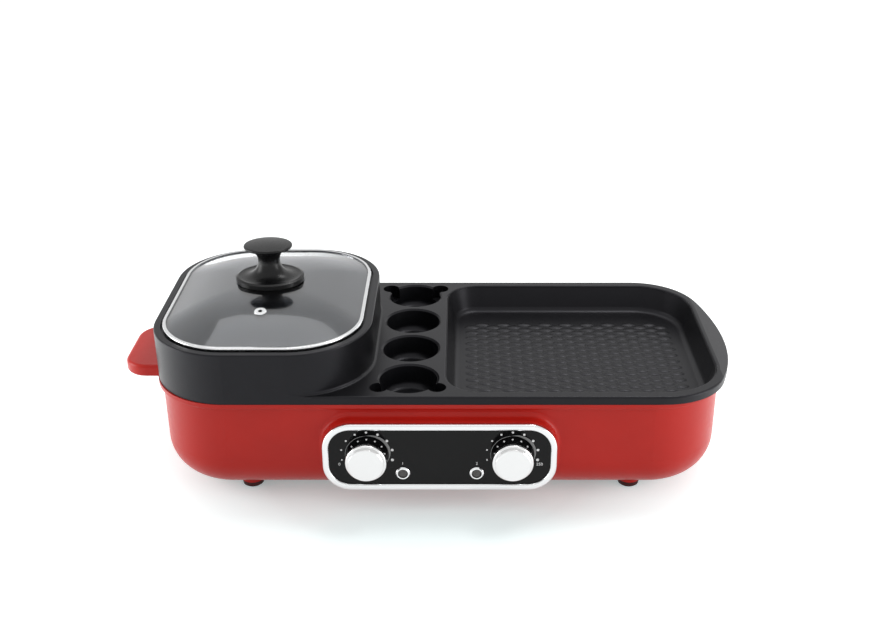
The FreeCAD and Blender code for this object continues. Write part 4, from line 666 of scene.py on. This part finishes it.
    def arc(self, shape, centre, radius, start, end):
        """Edges of an arc on the fascia, from one angle to another, in degrees from straight
        up."""
        angle = math.radians(start)
        spot = centre + radius * Vector((math.sin(angle), 0, math.cos(angle)))
        first = shape.verts.new(spot)
        known = set(shape.edges)
        bmesh.ops.spin(shape, geom=[first], cent=centre, axis=(0, 1, 0),
                       angle=math.radians(end - start), steps=ARC_STEPS)
        return [edge for edge in shape.edges if edge not in known]


class HOTPOT_OT_heating(bpy.types.Operator):
    """Finishes the heating elements, the tray and the parts inside the base"""
    bl_idname = "hotpot.heating"
    bl_label = "Heating and inner parts"

    def execute(self, context):
        # Stainless sheath, drawn and heat-stained: dull brown-grey.
        sheath = new_finish("heat_stained_sheath", linear("#6E675F"), 0.45, metallic=1.0)
        grained(sheath, 1.5 * MM, 0.01 * MM, roughness=(0.38, 0.55), tone=linear("#57504B"),
                tone_size=22 * MM)
        coat(sheath, "pot_heater", "griddle_heater")
        # Aluminised steel sheet, pressed: pale grey with a faint spangle.
        tray = new_finish("aluminised_sheet", linear("#C3C5C6"), 0.36, metallic=1.0)
        grained(tray, 5 * MM, 0.01 * MM, roughness=(0.28, 0.46), tone=linear("#B4B6B8"),
                tone_size=9 * MM)
        coat(tray, "reflector_tray")
        # Steatite, pressed and fired unglazed: cream, matt and faintly granular.
        steatite = new_finish("fired_steatite", linear("#DDD6C6"), 0.62,
                              specular_ior_level=0.4)
        grained(steatite, 0.9 * MM, 0.03 * MM, roughness=(0.55, 0.72), tone=linear("#D2CAB8"),
                tone_size=6 * MM)
        coat(steatite, "terminal_block", "pot_thermostat", "griddle_thermostat",
             "pot_thermal_cutout", "griddle_thermal_cutout")
        # Brass, stamped: warm yellow, lightly tarnished.
        brass = new_finish("stamped_brass", linear("#C9A24C"), 0.32, metallic=1.0)
        grained(brass, 0.8 * MM, 0.01 * MM, roughness=(0.26, 0.42), tone=linear("#B08C42"),
                tone_size=4 * MM)
        coat(brass, "inlet_pins", "pot_heater_terminals", "griddle_heater_terminals")
        # PA66, moulded matt: black with a fine spark-eroded grain.
        nylon = new_finish("moulded_black_nylon", linear("#1E1E1F"), 0.55,
                           specular_ior_level=0.4)
        grained(nylon, 0.5 * MM, 0.02 * MM, roughness=(0.48, 0.62))
        coat(nylon, "power_inlet")
        # Neon lamp in a frosted glass sleeve: milky grey.
        neon = new_finish("frosted_lamp_sleeve", linear("#CFC9BF"), 0.4, ior=1.5,
                          transmission_weight=0.3)
        grained(neon, 0.6 * MM, 0.01 * MM)
        coat(neon, "pot_lamp", "griddle_lamp")
        return {"FINISHED"}


class HOTPOT_PT_panel(bpy.types.Panel):
    """Lists the steps that dress the hot pot"""
    bl_idname = "HOTPOT_PT_panel"
    bl_label = "Electric Hot Pot"
    bl_space_type = "VIEW_3D"
    bl_region_type = "UI"
    bl_category = "Hot Pot"

    def draw(self, context):
        layout = self.layout
        for name in STEPS:
            layout.operator(name)
        for group_name in GROUPS:
            group = getattr(context.scene, group_name)
            box = layout.box()
            for key in group.bl_rna.properties.keys():
                if key not in ("rna_type", "name"):
                    box.prop(group, key)


STEPS = ("hotpot.stage", "hotpot.body", "hotpot.plate", "hotpot.lid", "hotpot.panel",
         "hotpot.heating")
GROUPS = {"hotpot_colours": HotPotColours, "hotpot_pattern": HotPotPattern,
          "hotpot_stage": HotPotStage}
CLASSES = (*GROUPS.values(), HOTPOT_OT_stage, HOTPOT_OT_body, HOTPOT_OT_plate, HOTPOT_OT_lid,
           HOTPOT_OT_panel, HOTPOT_OT_heating, HOTPOT_PT_panel)


def register():
    for item in CLASSES:
        bpy.utils.register_class(item)
    for name, group in GROUPS.items():
        setattr(bpy.types.Scene, name, bpy.props.PointerProperty(type=group))


def unregister():
    for name in GROUPS:
        delattr(bpy.types.Scene, name)
    for item in reversed(CLASSES):
        bpy.utils.unregister_class(item)


def main():
    register()
    for name in STEPS:
        group, step = name.split(".")
        getattr(getattr(bpy.ops, group), step)()


if __name__ == "__main__":
    main()
